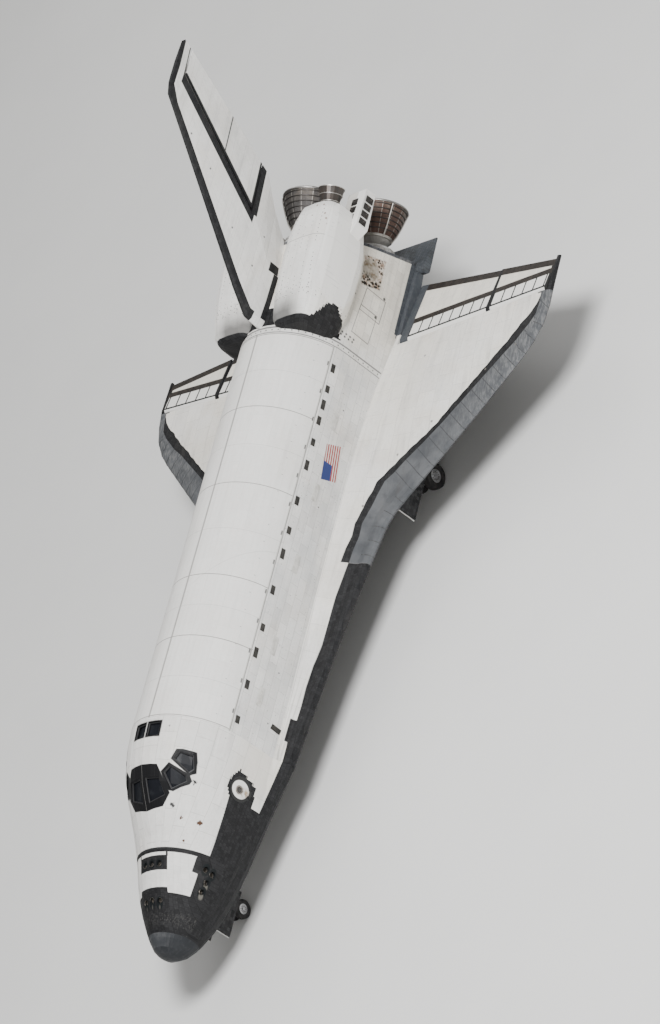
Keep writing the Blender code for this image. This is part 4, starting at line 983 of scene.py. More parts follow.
class ORBITER_OT_middle_body(OrbiterStep):
    """Quilted sides, vents, sill fittings and the payload bay's lining and ribs"""
    bl_idname = "orbiter.middle_body"
    bl_label = "Middle body"

    def execute(self, context):
        colours, sizes = settings(context)
        finish = Finish("middle_skin", colours.felt, 0.75)
        finish.weather(0.9)
        finish.panels(finish.aft, finish.up, sizes.blanket, 0.42, 0.010, 0.34, 0.16)
        finish.panels(finish.aft, finish.up, 0.15, 0.14, 0.004, 0.14, 0.05)
        finish.layer(SOOT, finish.dots(7.0, 0.020, 0.30) * 0.7)
        finish.mottle((0.42, 0.44, 0.46), 0.7, 3.0, 0.45, 0.65, 0.30)
        self.stripes(finish)
        for aft, up in ((9.95, 1.72), (9.95, 2.18), (12.20, 2.30), (19.90, 2.55), (24.60, 2.60)):
            finish.layer(0.12, finish.near(0.035, (aft, 2.66, up)))
        low = finish.table(finish.aft.stepped(0.15), [
            (8.7, 1.15), (9.55, 1.23), (10.62, 1.06), (12.2, 0.92), (14.7, 1.02), (18.0, 1.13),
            (27.1, 1.13)])
        finish.black_tiles((low - finish.up).edge() | finish.under, finish.aft,
                           finish.half + finish.up)
        core = finish.distance((0.0, 0.0, BAY_CENTRE_UP), (0.0, 1.0, 1.0))
        tone, seam = finish.bricks(finish.aft, finish.half, 0.75, 0.5, 0.01)
        lining = finish.mix(colours.lining, (0.40, 0.42, 0.38), tone * 0.5)
        lining = finish.mix(lining, (0.16, 0.17, 0.15), seam)
        lining = finish.mix(lining, (0.30, 0.31, 0.27), finish.noise(3.0, 4.0).over(0.4, 0.7) * 0.5)
        finish.layer(lining, (2.33 - core).edge() * (finish.up - 0.9).edge(), 0.85)
        finish.layer((0.38, 0.38, 0.37), (finish.up - (SILL_UP - 0.012)).edge(0.008), 0.5)
        finish.dress("mid_fuselage")

        skin = BODY_HALF + 0.001
        fittings, doors = bmesh.new(), bmesh.new()
        for turn in (1, -1):
            for i, aft in enumerate(SILL_PATCHES):
                reach = 0.17 + 0.03 * (i % 3)
                plate(fittings, [(aft + a, turn * side_half(u), u) for a, u in (
                    (-reach, 3.58), (reach, 3.60), (reach, 3.80), (-reach, 3.78))])
            for aft in VENTS:
                plate(doors, [(aft + a, turn * skin, u) for a, u in (
                    (-0.42, 2.76), (0.42, 2.76), (0.42, 3.04), (-0.42, 3.04))])
                for row in (2.82, 2.90, 2.98):
                    bar(doors, (aft - 0.36, turn * 2.690, row), (aft + 0.36, turn * 2.690, row),
                        0.008, sides=8)
            plate(fittings, [(aft, turn * skin, up) for aft, up in (
                (9.78, 1.48), (10.02, 1.43), (10.06, 1.96), (9.82, 2.01))])
        piece("sill_fittings", fittings, plain(
            "sill_fitting", (0.045, 0.042, 0.038), 0.6, [(0.02, 5.0, 4.0, 0.4, 0.65, 0.8)]))
        piece("vent_doors", doors, plain(
            "vent_door", (0.62, 0.61, 0.58), 0.6, [((0.35, 0.33, 0.30), 4.0, 4.0, 0.45, 0.7, 0.6)],
            (9.0, 3.0, 0.3)))

        rib = metal("bay_rib", (0.46, 0.47, 0.45), 0.45, 0.8, 0.4)
        shape = bmesh.new()
        for i in range(12):
            bay_rib(shape, 9.2 + 1.58 * i)
        piece("bay_ribs", shape, rib)
        shape = bmesh.new()
        for turn in (1, -1):
            for half, up, radius in ((2.18, 3.80, 0.045), (1.20, 1.50, 0.035)):
                bar(shape, (8.80, turn * half, up), (26.95, turn * half, up), radius, sides=12)
            for i in range(22):
                block(shape, (9.3 + 0.8 * i, turn * 2.20, 3.74), UPWARD, (0.16, 0.10, 0.05), 0.008)
        block(shape, (17.9, 0, 1.18), UPWARD, (17.6, 0.5, 0.10), 0.02)
        piece("bay_rails", shape, rib)
        return {"FINISHED"}

    def stripes(self, finish):
        """A generic panel of red and white stripes with a plain blue field."""
        mask = finish.inside(finish.aft, finish.up, [
            (22.74, 2.99), (23.04, 2.20), (21.41, 1.97), (21.12, 2.82)])
        height = finish.up - (finish.aft - 21.41) * 0.125 - 1.97
        finish.layer((0.62, 0.60, 0.56), mask)
        finish.layer((0.34, 0.035, 0.035), mask * (height % 0.126 - 0.063).edge(0.01))
        field = (height - 0.38).edge() * (21.98 - finish.aft).edge()
        finish.layer((0.035, 0.05, 0.16), mask * field)


class ORBITER_OT_bay_doors(OrbiterStep):
    """Payload bay doors with their seams, and the radiators inside them"""
    bl_idname = "orbiter.bay_doors"
    bl_label = "Bay doors"

    def execute(self, context):
        colours, sizes = settings(context)
        finish = Finish("door_skin", colours.felt, 0.48)
        finish.weather(0.45)
        finish.panels(finish.aft, finish.around, 1.53, 0.98, 0.006, 0.10, 0.05)
        finish.panels(finish.aft, finish.around, 0.306, 0.245, 0.003, 0.05, 0.02)
        seams = (0.05 - finish.side).edge() * 0.7
        for aft in DOOR_SEAMS:
            seams = seams | finish.aft.within(aft - sizes.seam / 2, aft + sizes.seam / 2, 0.012)
        for aft in DOOR_CREASES:
            seams = seams | finish.aft.within(aft - 0.008, aft + 0.008, 0.01) * 0.45
        finish.layer((0.13, 0.12, 0.11), seams * 0.85)
        finish.carve(seams)
        slant = (finish.aft - finish.half * 0.9 - 14.6).within(-0.02, 0.02, 0.03)
        finish.layer(SOOT, slant * (finish.half - 0.3).edge() * 0.18)
        finish.layer((0.50, 0.49, 0.46), (SILL_UP + 0.07 - finish.up).edge() * 0.8)
        for colour, step, half, radius, share in ((0.10, 0.55, -1.35, 0.016, 0.8),
                                                  (0.14, 0.80, 2.35, 0.014, 0.7)):
            away = finish.aft.off(step) | abs(finish.half - half)
            finish.layer(colour, (radius - away).edge(0.01) * share)
        core = finish.distance((0.0, 0.0, ARCH_UP), (0.0, 1.0, 1.0))
        finish.layer(colours.lining, (2.63 - core).edge(0.01), 0.8)
        finish.dress("left_bay_door", "right_bay_door")

        finish = Finish("radiator_silver", (0.72, 0.73, 0.74), 0.22, {"Coat Weight": 0.4})
        tube = finish.around.off(0.09)
        finish.layer((0.38, 0.39, 0.40), (0.010 - tube).edge(0.008) * 0.7)
        finish.carve((0.016 - tube).edge(0.012), -1.0)
        for aft in (13.46, 17.87, 22.28):
            finish.layer(0.18, finish.aft.within(aft - 0.04, aft + 0.04))
        finish.mottle(0.5, 1.3, 4.0, 0.45, 0.7, 0.4)
        finish.dress("left_radiators", "right_radiators", relief=0.006)

        latch = metal("latch_metal", (0.35, 0.35, 0.34), 0.4)
        for name, turn in SIDES:
            shape = bmesh.new()
            for i in range(13):
                block(shape, (9.6 + 1.38 * i, turn * 2.575, SILL_UP + 0.085), (0, turn, 0.2),
                      (0.20, 0.07, 0.03))
            piece(f"{name}_door_fittings", shape, latch, f"{name}_door")
        shape = bmesh.new()
        for i in range(17):
            block(shape, (9.3 + 1.08 * i, 0.055, ARCH_UP + 2.555), UPWARD, (0.12, 0.05, 0.04))
        piece("centreline_latches", shape, latch, "left_door")
        return {"FINISHED"}


class ORBITER_OT_tail_body(OrbiterStep):
    """Sides of the tail body, the heat shield and the three domes"""
    bl_idname = "orbiter.tail_body"
    bl_label = "Tail body"

    def execute(self, context):
        colours, _ = settings(context)
        finish = Finish("tail_skin", colours.felt, 0.7)
        finish.layer(colours.cream, (finish.aft - 28.2).edge(2.0))
        finish.weather(1.1)
        finish.panels(finish.aft, finish.up, 0.62, 0.44, 0.010, 0.28, 0.14)
        finish.panels(finish.aft, finish.up, 0.155, 0.147, 0.004, 0.12, 0.06)
        for corners in ([(28.10, 2.25), (29.60, 2.15), (29.62, 3.18), (28.14, 3.30)],
                        [(29.30, 1.95), (30.48, 1.90), (30.52, 3.10), (29.34, 3.20)]):
            outer = finish.inside(finish.aft, finish.up, corners)
            inner = finish.inside(finish.aft, finish.up, shrunk(corners, 0.04))
            finish.layer((0.12, 0.11, 0.10), outer * (1 - inner) * 0.8)
        self.repairs(finish)
        for aft, up, size in ((29.50, 2.24, 0.07), (30.56, 2.03, 0.07), (27.72, 3.10, 0.05),
                              (27.72, 3.32, 0.05), (27.73, 3.54, 0.05), (27.75, 3.76, 0.05),
                              (27.87, 3.05, 0.05), (27.87, 3.28, 0.05), (27.88, 3.50, 0.05),
                              (27.88, 3.72, 0.05), (28.70, 3.90, 0.04), (29.90, 3.60, 0.04)):
            finish.layer(0.03, finish.near(size, (aft, BODY_HALF, up), soft=0.03) * 0.9)
        arc = finish.aft.within(27.27, 27.34) | finish.aft.within(27.026, 27.07)
        finish.layer(0.10, arc * 0.85)
        away = finish.around.off(0.30) | abs(finish.aft - 27.18)
        finish.layer(0.06, (0.028 - away).edge(0.015))
        reach = finish.table(finish.up.stepped(0.10), [
            (3.7, 27.45), (3.95, 27.85), (4.25, 28.10), (4.6, 28.20), (4.8, 28.3)])
        singed = (reach - finish.aft.stepped(0.10)).edge() * (finish.up - 3.68).edge()
        finish.black_tiles(singed * (finish.aft - 27.42).edge(), finish.aft, finish.up)
        low = finish.table(finish.aft.stepped(0.15), [
            (27.0, 0.75), (29.2, 0.85), (29.5, 1.05), (33.6, 1.10)])
        finish.slate((0.085, 0.092, 0.10), 7.0, (low - finish.up).edge() | finish.under, 0.55)
        finish.dress("aft_fuselage")

        finish = Finish("heat_shield", colours.slate, 0.7)
        tone, seam = finish.bricks(finish.half, finish.up, 0.20, 0.20, 0.010)
        finish.layer((0.11, 0.11, 0.115), tone * 0.5)
        finish.mottle((0.30, 0.29, 0.28), 2.0, 5.0, 0.50, 0.72, 0.5)
        finish.layer(0.012, seam * 0.8)
        finish.carve(seam)
        for row in ENGINES.values():
            along, radius, angle = finish.around_engine(row)
            dome = (1.06 - radius).edge(0.03) * (along - engine_line(*row)[2] - 0.02).edge(0.03)
            finish.layer((0.46, 0.455, 0.44), dome * 0.9, 0.8)
            fold = (angle * (24 / FULL_TURN)).off(1.0)
            finish.layer(0.12, dome * (fold - 0.45).edge(0.05) * 0.8)
            finish.layer((0.16, 0.13, 0.11), dome * finish.noise(4.0, 4.0).over(0.45, 0.7) * 0.6)
        finish.dress("base_heat_shield", relief=0.008)

        shape = bmesh.new()
        for row in ENGINES.values():
            origin, way, reach = engine_line(*row)
            for start, radius in ((reach + 0.24, 1.015), (reach + 0.53, 0.86)):
                lathe(shape, [(start + along, radius + out) for along, out in (
                    (-0.05, -0.02), (-0.04, 0.025), (0.02, 0.03), (0.05, -0.005), (0.04, -0.05))],
                    origin, way)
        piece("dome_collars", shape, plain(
            "dome_collar", (0.50, 0.50, 0.49), 0.85,
            [((0.22, 0.20, 0.18), 5.0, 4.0, 0.4, 0.7, 0.7)], (12.0, 3.0, 0.6)))
        return {"FINISHED"}

    def repairs(self, finish):
        """A scorched and speckled patch with a round repair in it."""
        patch = finish.inside(finish.aft, finish.up, [
            (31.85, 3.64), (32.22, 2.44), (30.79, 2.41), (30.46, 3.45)], 0.08)
        blotch = finish.noise(5.0, 5.0, roughness=0.7).over(0.35, 0.6)
        finish.layer((0.20, 0.11, 0.06), patch * blotch * 0.85)
        finish.layer((0.03, 0.025, 0.02), patch * finish.dots(7.5, 0.052, 0.8))
        disc = finish.distance((31.37, BODY_HALF, 3.15), (1, 0, 1))
        mottled = finish.mix((0.36, 0.33, 0.28), (0.16, 0.12, 0.08),
                             finish.noise(4.0, 5.0).over(0.45, 0.65))
        finish.layer(mottled, (0.43 - disc + finish.noise(8.0) * 0.1).edge(0.06) * patch)
        specks = finish.dots(5.5, 0.085, 0.75) * (31.1 - finish.aft).edge(0.3)
        finish.layer((0.02, 0.018, 0.015), patch * specks)


class ORBITER_OT_main_engines(OrbiterStep):
    """Three engine bells with stiffening bands, cooling tubes and feed lines"""
    bl_idname = "orbiter.main_engines"
    bl_label = "Main engines"

    def execute(self, context):
        colours, sizes = settings(context)
        band = metal("bell_band", (0.06, 0.055, 0.052), 0.5, 0.8, 0.6)
        lip = metal("bell_lip", (0.26, 0.25, 0.24), 0.40, 1.0, 0.5)
        line = metal("feed_line", (0.42, 0.40, 0.37), 0.4, 0.9, 0.6)
        for name, row in ENGINES.items():
            origin, way, reach = engine_line(*row)
            first = reach + 0.72
            profile = [(first + along, radius) for along, radius in BELL]
            profile += [(3.87, 1.17), (3.99, 1.19)]
            skin = tuple(colours.copper if name == "left" else colours.bell)
            finish = Finish(f"bell_{name}", skin, 0.45, {"Metallic": 0.6})
            along, radius, angle = finish.around_engine(row)
            wall = finish.table(along, profile)
            tube = (angle * (150 / FULL_TURN)).off(1.0)
            # Painted highlight: a lighter line along the middle of each of the 150 cooling tubes.
            finish.layer(scaled(skin, 1.9, 0.01), (0.22 - tube).edge(0.1) * 0.5)
            pipe = (angle * (14 / FULL_TURN)).off(1.0)
            finish.layer((0.34, 0.32, 0.29), (0.030 - pipe).edge() * 0.8)
            finish.carve((0.25 - tube).edge(0.2), -1.0)
            finish.mottle((0.03, 0.028, 0.027), 1.5, 5.0, 0.42, 0.68, 0.7)
            sooty = (along - 3.3).over(0.0, 0.6) * finish.noise(3.0).over(0.4, 0.6)
            finish.layer((0.15, 0.125, 0.10), sooty * 0.6)
            finish.layer((0.48, 0.47, 0.45), (first + 0.34 - along).edge(0.05) * 0.85, 0.6)
            finish.layer((0.02, 0.019, 0.018), (wall - 0.030 - radius).edge(0.01), 0.7)
            finish.dress(f"main_engine_{name}", relief=0.006)

            shape = bmesh.new()
            start, spread = first + 0.62, 3.80 - first - 0.62
            for i in range(sizes.bands):
                spot = start + spread * i / (sizes.bands - 1)
                end = spot + sizes.band
                size, back = level(profile, spot), level(profile, end)
                lathe(shape, [(spot, size - 0.01), (spot + 0.008, size + 0.030),
                              (end - 0.008, back + 0.030), (end, back - 0.01)], origin, way, 64)
            piece(f"bell_bands_{name}", shape, band)
            shape = bmesh.new()
            lathe(shape, [(3.90, 1.165), (3.91, 1.205), (3.95, 1.222), (3.985, 1.212),
                          (3.99, 1.18)], origin, way, 64)
            piece(f"bell_lip_{name}", shape, lip)
            shape = bmesh.new()
            path = [(spot, size + 0.05) for spot, size in profile[2:-1]]
            for share in (0.05, 0.38, 0.55, 0.88):
                bell_pipe(shape, origin, way, path, FULL_TURN * share, 0.028)
            lathe(shape, [(first + 0.30, 0.60), (first + 0.33, 0.68), (first + 0.41, 0.72),
                          (first + 0.46, 0.68), (first + 0.42, 0.62)], origin, way)
            piece(f"feed_lines_{name}", shape, line)
        return {"FINISHED"}


class ORBITER_OT_pods(OrbiterStep):
    """Engine pods, their thruster ports and their own engines"""
    bl_idname = "orbiter.pods"
    bl_label = "Engine pods"

    def execute(self, context):
        colours, _ = settings(context)
        finish = Finish("pod_skin", colours.felt, 0.66)
        low = (finish.side - 2.2).edge(1.0) * (5.6 - finish.up).edge(1.0)
        finish.layer(colours.cream, low * 0.7)
        finish.weather(0.7)
        finish.panels(finish.aft, finish.around, 0.40, 0.35, 0.006, 0.16, 0.06)
        away = finish.aft.off(0.20) | finish.side.off(0.38)
        rows = (0.018 - away).edge(0.014) * finish.aft.within(28.2, 32.5)
        chance = finish.noise(2.3, 1.0).over(0.46, 0.52) | finish.aft.within(28.2, 28.9)
        finish.layer(0.05, rows * chance)
        finish.layer(0.05, finish.dots(9.0, 0.022, 0.8) * finish.aft.within(28.2, 28.75, 0.1))
        finish.layer((0.20, 0.19, 0.18), finish.aft.within(31.00, 31.03) * 0.7)
        haze = (28.45 - finish.aft + finish.noise(2.0, 3.0) * 0.3).over(0.0, 0.95)
        haze = haze * (1.0 - (finish.side - 2.3).edge(0.8))
        finish.layer((0.09, 0.088, 0.085), haze * 0.85)
        burnt = finish.dots(4.0, 0.05, 0.4) * (finish.aft - 31.6).edge(0.5)
        finish.layer((0.16, 0.09, 0.05), burnt * 0.8)
        finish.layer((0.24, 0.23, 0.22), (finish.aft - 32.55).edge(0.3) * 0.35)
        finish.layer(colours.felt, (finish.side - 3.12).edge() * 0.8)
        reach = finish.table(finish.up.stepped(0.10), [
            (4.0, 28.00), (4.45, 28.20), (4.70, 28.45), (5.25, 28.25), (5.45, 27.85),
            (5.72, 27.42), (6.7, 27.40)])
        patch = (reach - finish.aft.stepped(0.10)).edge() * (finish.side - 1.9).edge(0.1)
        finish.black_tiles(patch | (27.42 - finish.aft).edge(), finish.aft, finish.around)
        finish.dress("left_engine_pod", "right_engine_pod")

        steel = metal("port_frame", (0.030, 0.028, 0.026), 0.6, 0.3)
        cup = plain("port_cup", (0.035, 0.03, 0.028), 0.5,
                    [((0.14, 0.10, 0.07), 9.0, 3.0, 0.5, 0.7, 0.5)], fixed={"Metallic": 0.6})
        seal = metal("pod_engine_lip", (0.55, 0.53, 0.50), 0.4)
        for name, turn in SIDES:
            frames, cups = bmesh.new(), bmesh.new()
            for i in range(4):
                spot = (32.42 + 0.36 * i, turn * (3.555 + 0.03 * i), 4.94)
                block(frames, spot, (0, turn, 0), (0.30, 0.40, 0.03), 0.01)
                self.port(cups, spot, (0, turn, 0.15), 0.125)
            for i in range(3):
                spot = (32.60 + 0.40 * i, turn * 3.06, 5.225)
                block(frames, spot, UPWARD, (0.32, 0.34, 0.03), 0.01)
                self.port(cups, spot, UPWARD, 0.12)
            for half in (2.72, 3.05, 3.38):
                lathe(cups, [(-0.02, 0.03), (0.0, 0.08), (0.03, 0.10), (0.03, 0.08), (0.0, 0.04)],
                      place(33.95, turn * half, 4.93), heading(*AFTWARD), 24)
            piece(f"{name}_port_frames", frames, steel)
            piece(f"{name}_port_cups", cups, cup)

            dress(plain(f"{name}_pod_bell", (0.075, 0.068, 0.064), 0.42,
                        [((0.12, 0.085, 0.065), 3.0, 4.0, 0.45, 0.7, 0.5),
                         (0.03, 1.5, 4.0, 0.4, 0.7, 0.6)], (14.0, 3.0, 0.3), {"Metallic": 0.85},
                        0.001), f"{name}_pod_engine")
            aft, half, up, cant_up, cant_out = POD_ENGINE
            origin, way, _ = engine_line(aft, turn * half, up, cant_up, turn * cant_out)
            face = (POD_BACK - aft) / engine_way(cant_up, turn * cant_out).x
            shape = bmesh.new()
            for start, size in ((face + 0.43, 0.385), (face + 0.72, 0.485)):
                lathe(shape, [(start, size - 0.01), (start + 0.005, size + 0.016),
                              (start + 0.025, size + 0.022), (start + 0.03, size - 0.005)],
                      origin, way)
            lathe(shape, [(face + 1.02, 0.545), (face + 1.025, 0.572), (face + 1.05, 0.575),
                          (face + 1.055, 0.535)], origin, way)
            piece(f"{name}_pod_engine_rings", shape, seal)
        return {"FINISHED"}

    def port(self, shape, spot, way, radius):
        """The cup of a thruster in the pod's housing."""
        lathe(shape, [(-0.02, 0.04), (0.0, 0.10), (0.035, radius), (0.035, 0.10), (0.0, 0.05)],
              place(*spot), heading(*way), 24)


class ORBITER_OT_wings(OrbiterStep):
    """Wings, their carbon leading edges and the black tile along them"""
    bl_idname = "orbiter.wings"
    bl_label = "Wings"

    def execute(self, context):
        colours, sizes = settings(context)
        finish = Finish("wing_skin", colours.felt, 0.72)
        finish.mottle(colours.cream, 0.35, 3.0, 0.3, 0.7, 0.8)
        finish.weather(0.9)
        finish.panels(finish.aft, finish.side, 1.25, 0.90, 0.010, 0.26, 0.08)
        finish.panels(finish.aft, finish.side, 0.21, 0.18, 0.003, 0.07, 0.03)
        deep = finish.table(finish.aft, WING_EDGE) - finish.side
        behind = (finish.aft - EDGE_START).edge()
        jagged = finish.table(finish.aft, STRIP_REACH) + finish.side.off(0.46) * 0.2
        strip = (jagged - deep).edge() * behind
        corner = (finish.aft - 29.0).edge() * (finish.side - 11.536).edge()
        corner = corner | finish.aft.within(28.95, 29.35) * (finish.side - 11.2).edge()
        root = (finish.side - finish.table(finish.aft, ROOT_SHORE)).edge()
        root = root * (1.12 - finish.up).edge()
        root = root | (1.22 - finish.up).edge() * finish.aft.within(9.66, 10.67)
        dark = strip | corner | root * (1.0 - behind) | finish.under
        finish.black_tiles(dark, finish.aft, finish.side)
        finish.slate((0.075, 0.080, 0.087), 6.0,
                     (finish.aft - 29.4).edge() * (3.3 - finish.side).edge())
        carbon = (finish.table(finish.aft, CARBON_REACH) - deep).edge() * behind
        carbon = carbon * (29.0 - finish.aft).edge()
        finish.layer(finish.edge_grey(), carbon, 0.55)
        # seals across the carbon run on from those of the edge, where it goes out at 45 degrees
        outward = finish.aft + finish.side
        seal = (0.018 - (outward * 0.7071 - 15.423).off(0.66)).edge(0.01) * (outward - 26.5).edge()
        finish.layer((0.045, 0.047, 0.05), seal * carbon * 0.8)
        finish.mottle((0.12, 0.11, 0.10), 0.9, 5.0, 0.55, 0.8, 0.22, (0.3, 1.6, 1.6))
        for aft, side in ((20.6, 3.6), (24.1, 6.4), (26.0, 8.9), (27.6, 5.1), (22.8, 4.9),
                          (26.8, 10.4)):
            mark = finish.near(0.05, (aft, side, 0), (1, 1, 0), 0.04)
            finish.layer((0.14, 0.13, 0.12), mark * 0.8)
        finish.dress("left_wing", "right_wing")

        finish = Finish("edge_carbon", colours.carbon, 0.55)
        finish.colour = finish.edge_grey()
        finish.carve(finish.noise(1.1, 5.0), 0.3)
        finish.dress("left_leading_edge", "right_leading_edge")

        gap = plain("edge_seam", (0.045, 0.047, 0.05), 0.6, [(0.12, 8.0, 3.0, 0.4, 0.7, 0.6)])
        outline = [row for row in WING_EDGE if EDGE_START <= row[0] < 27.9]
        for name, turn in SIDES:
            shape = bmesh.new()
            for (aft, half), (way_aft, way_half) in along_line(outline, sizes.edge_panel, 0.35):
                way = (way_aft, turn * way_half, 0.0)
                near, far = (((aft + shift * way[0], turn * half + shift * way[1], 0.5), way)
                             for shift in (-0.020, 0.020))
                skin_band(shape, f"{name}_leading_edge", near, far, 0.0, 0.010)
            piece(f"{name}_edge_seals", shape, gap)
        return {"FINISHED"}


class ORBITER_OT_elevons(OrbiterStep):
    """Elevons with their hinge strips, and the body flap"""
    bl_idname = "orbiter.elevons"
    bl_label = "Elevons and body flap"

    def execute(self, context):
        colours, sizes = settings(context)
        finish = Finish("elevon_skin", colours.cream, 0.72)
        finish.weather(1.0)
        finish.panels(finish.aft, finish.side, 0.70, 0.46, 0.008, 0.22, 0.10)
        finish.panels(finish.aft, finish.side, 0.15, 0.15, 0.003, 0.08, 0.03)
        finish.layer(colours.felt, (29.86 - finish.aft).edge() * 0.9)
        ladder = (0.040 - finish.side.off(0.62)).edge(0.01) * finish.aft.within(29.20, 29.90)
        ladder = ladder | finish.aft.within(29.15, 29.24) | (28.93 - finish.aft).edge()
        finish.layer(0.02, ladder | (finish.side - 11.55).edge())
        back = 32.18 - 0.1773 * (finish.side - 2.93)
        band = finish.aft.within(29.86, 30.16) | (finish.aft - back + 0.36).edge()
        singed = finish.mix((0.020, 0.017, 0.015), (0.040, 0.033, 0.028),
                            finish.noise(4.0, 4.0).over(0.4, 0.7))
        finish.layer(singed, band, 0.6)
        finish.slate((0.075, 0.080, 0.087), 6.0, (3.40 - finish.side).edge())
        seam = finish.side.within(ELEVON_SPLIT - 0.12, ELEVON_SPLIT + 0.12)
        finish.black_tiles(finish.under | seam, finish.aft, finish.side)
        finish.dress("left_inboard_elevon", "left_outboard_elevon", "right_inboard_elevon",
                     "right_outboard_elevon")

        finish = Finish("flap_tiles", colours.slate, 0.55)
        size = sizes.black_tile
        tone, seam = finish.bricks(finish.aft, finish.half, size, size, 0.008)
        finish.layer((0.095, 0.103, 0.112), tone * 0.55)
        finish.mottle(0.03, 2.5, 4.0, 0.45, 0.7, 0.7)
        finish.mottle((0.16, 0.166, 0.172), 6.0, 3.0, 0.6, 0.8, 0.5)
        finish.layer(0.01, seam * 0.8)
        finish.carve(seam)
        finish.dress("body_flap")
        return {"FINISHED"}


class ORBITER_OT_fin(OrbiterStep):
    """Fin, its dark leading edge, and the split rudder"""
    bl_idname = "orbiter.fin"
    bl_label = "Fin and rudder"

    def execute(self, context):
        self.skin("fin_skin", self.fin_bands).dress("fin")
        self.skin("rudder_skin", self.rudder_bands).dress("left_rudder_panel",
                                                          "right_rudder_panel")
        dress(metal("rudder_tube", (0.40, 0.39, 0.37), 0.4), "rudder_hinge_tube")
        return {"FINISHED"}

    def skin(self, name, bands):
        """White panels with black bands. Behind is the distance aft of the rudder's hinge."""
        finish = Finish(name, settings(bpy.context)[0].felt, 0.70)
        finish.weather(0.8)
        finish.panels(finish.aft - finish.up * 0.9, finish.up, 0.95, 0.62, 0.010, 0.22, 0.08)
        finish.panels(finish.aft, finish.up, 0.152, 0.152, 0.003, 0.09, 0.04)
        behind = finish.aft - (finish.up * 0.695 + (32.10 - 8.20 * 0.695))
        finish.black_tiles(bands(finish, behind), finish.aft, finish.up)
        finish.mottle(SOOT, 0.8, 4.0, 0.5, 0.75, 0.22, (0.3, 1, 1.5))
        return finish

    def fin_bands(self, finish, behind):
        aft, up = finish.aft, finish.up
        mask = (finish.table(up, FIN_FRONT) + 0.40 - aft).edge() * (up - 6.6).edge()
        mask = mask | (up - 13.74).edge() | (behind + 0.58).edge() * up.within(8.02, 13.45)
        mask = mask | up.within(7.86, 8.22) * (aft - 31.8).edge()
        mask = mask | up.within(5.80, 6.22) * aft.within(27.7, 29.9)
        mask = mask | up.within(6.0, 6.55) * aft.within(29.9, 30.35)
        for spot in ((29.6, 0, 7.4), (30.6, 0, 8.9), (32.4, 0, 10.8), (31.2, 0, 7.2),
                     (33.3, 0, 12.2)):
            mask = mask | finish.near(0.045, spot) * 0.8
        return mask

    def rudder_bands(self, finish, behind):
        split = finish.up.within(10.30, 10.36)
        return split | (0.10 - behind).edge() | (8.30 - finish.up).edge()


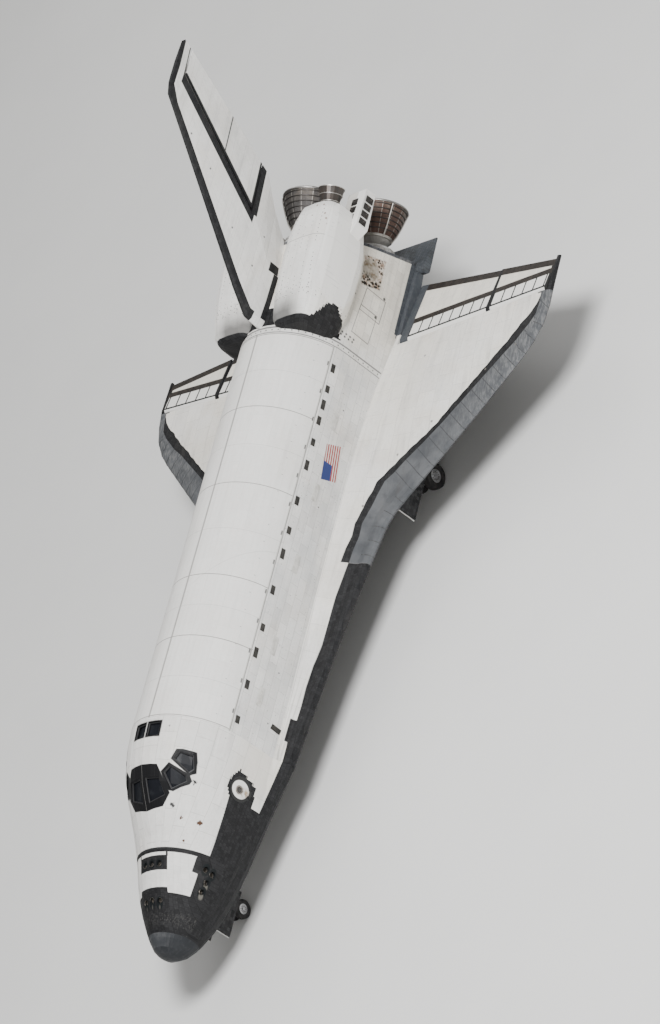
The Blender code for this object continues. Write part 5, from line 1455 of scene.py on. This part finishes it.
class ORBITER_OT_landing_gear(OrbiterStep):
    """Tyres, wheels, brakes, legs, hydraulic lines and the gear doors"""
    bl_idname = "orbiter.landing_gear"
    bl_label = "Landing gear"

    def execute(self, context):
        colours, sizes = settings(context)
        dress(plain("leg_paint", (0.66, 0.66, 0.64), 0.38,
                    [((0.25, 0.23, 0.20), 4.0, 5.0, 0.5, 0.75, 0.6)], (20.0, 3.0, 0.3),
                    {"Coat Weight": 0.3}, 0.001),
              "nose_gear_leg", "nose_gear_fork", "left_main_gear_leg", "right_main_gear_leg")
        dress(metal("wheel_rim", colours.steel, 0.35, 0.9, 0.5), *RIMS.values())
        door = Finish("gear_door", colours.felt, 0.6)
        door.weather(0.7)
        tone, seam = door.bricks(door.aft, door.up, sizes.black_tile, sizes.black_tile, 0.006)
        outside = (abs(door.port) - 0.5).edge(0.1) * door.side.edge(1.0)
        glaze = door.mix(colours.tile, (0.05, 0.05, 0.052), tone)
        door.layer(door.mix(glaze, 0.004, seam), outside, 0.5)
        door.carve(seam * outside)
        door.dress("nose_gear_door_left", "nose_gear_door_right", "left_main_gear_door",
                   "right_main_gear_door")

        rubber = plain("tyre_rubber", colours.rubber, 0.82,
                       [((0.07, 0.065, 0.06), 5.0, 5.0, 0.42, 0.7, 0.6),
                        ((0.12, 0.11, 0.10), 40.0, 2.0, 0.6, 0.8, 0.4)], (60.0, 2.0, 0.4),
                       relief=0.001)
        bolt = metal("wheel_bolt", (0.24, 0.23, 0.22), 0.4)
        for name, rims in RIMS.items():
            body = f"{name}_wheel_pair"
            tyres = [f"{name}_main_tyre_a", f"{name}_main_tyre_b"]
            if name == "nose":
                tyres = ["nose_tyre_left", "nose_tyre_right"]
            bolts = bmesh.new()
            for tyre in tyres:
                low, high = (Vector(corner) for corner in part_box(tyre))
                centre, radius, width = (low + high) / 2, (high.z - low.z) / 2, high.y - low.y
                shape = bmesh.new()
                lathe(shape, tyre_outline(radius, width, sizes.tread), centre, Vector(OUTBOARD), 72)
                made = piece(f"{tyre}_tread", shape, rubber, body, 40)
                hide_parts(tyre)
                self.hub(bolts, rims, centre, radius, width)
            piece(f"{name}_wheel_fittings", bolts, bolt, body)

        hose = plain("hydraulic_line", (0.05, 0.05, 0.052), 0.5,
                     [(0.14, 30.0, 3.0, 0.45, 0.7, 0.6)])
        shape = bmesh.new()
        for y in (-0.135, 0.135):
            rod(shape, Vector((NOSE_LEG_X, y, 0.98)), Vector((NOSE_LEG_X + 0.02, y, 2.00)), 0.016)
        for turn in (1, -1):
            for x in (MAIN_LEG_X - 0.17, MAIN_LEG_X + 0.17):
                y = turn * MAIN_LEG_HALF
                rod(shape, Vector((x, y, 0.90)), Vector((x, y, 2.05)), 0.02)
        piece("hydraulic_lines", shape, hose)
        return {"FINISHED"}

    def hub(self, shape, rims, centre, radius, width):
        """Ten bolts on a wheel's outer face, and the brake's ring inside it."""
        low, high = (Vector(corner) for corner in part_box(rims))
        outward = 1 if centre.y > (low.y + high.y) / 2 else -1
        face = high.y if outward > 0 else low.y
        for i in range(10):
            angle = FULL_TURN * i / 10
            spot = Vector((centre.x + 0.30 * radius * math.cos(angle), face - outward * 0.042,
                           centre.z + 0.30 * radius * math.sin(angle)))
            turn = Matrix.Rotation(-outward * math.pi / 2, 4, "X")
            bmesh.ops.create_cone(shape, cap_ends=True, segments=6, radius1=0.026 * radius / 0.57,
                                  radius2=0.020 * radius / 0.57, depth=0.03,
                                  matrix=Matrix.Translation(spot) @ turn)
        lathe(shape, [(-0.10, 0.50 * radius), (-0.02, 0.50 * radius), (-0.02, 0.36 * radius),
                      (-0.10, 0.36 * radius)],
              centre - Vector((0, outward * 0.30 * width, 0)), Vector((0, -outward, 0)), 36)


STEPS = [ORBITER_OT_stage, ORBITER_OT_nose, ORBITER_OT_forward_body, ORBITER_OT_windows,
         ORBITER_OT_cabin, ORBITER_OT_middle_body, ORBITER_OT_bay_doors, ORBITER_OT_tail_body,
         ORBITER_OT_main_engines, ORBITER_OT_pods, ORBITER_OT_wings, ORBITER_OT_elevons,
         ORBITER_OT_fin, ORBITER_OT_landing_gear]


class ORBITER_PT_looks(bpy.types.Panel):
    """Lists the steps that dress the orbiter, with its colours and sizes"""
    bl_idname = "ORBITER_PT_looks"
    bl_label = "Orbiter looks"
    bl_space_type = "VIEW_3D"
    bl_region_type = "UI"
    bl_category = "Orbiter"

    def draw(self, context):
        column = self.layout.column(align=True)
        for step in STEPS:
            column.operator(step.bl_idname)
        for group in settings(context):
            for name in group.__annotations__:
                self.layout.prop(group, name)


CLASSES = [OrbiterColours, OrbiterSizes, *STEPS, ORBITER_PT_looks]


def register():
    for item in CLASSES:
        bpy.utils.register_class(item)
    bpy.types.Scene.orbiter_colours = PointerProperty(type=OrbiterColours)
    bpy.types.Scene.orbiter_sizes = PointerProperty(type=OrbiterSizes)


def unregister():
    del bpy.types.Scene.orbiter_sizes
    del bpy.types.Scene.orbiter_colours
    for item in reversed(CLASSES):
        bpy.utils.unregister_class(item)


def main():
    register()
    for step in STEPS:
        getattr(bpy.ops.orbiter, step.bl_idname.split(".")[1])()


if __name__ == "__main__":
    main()
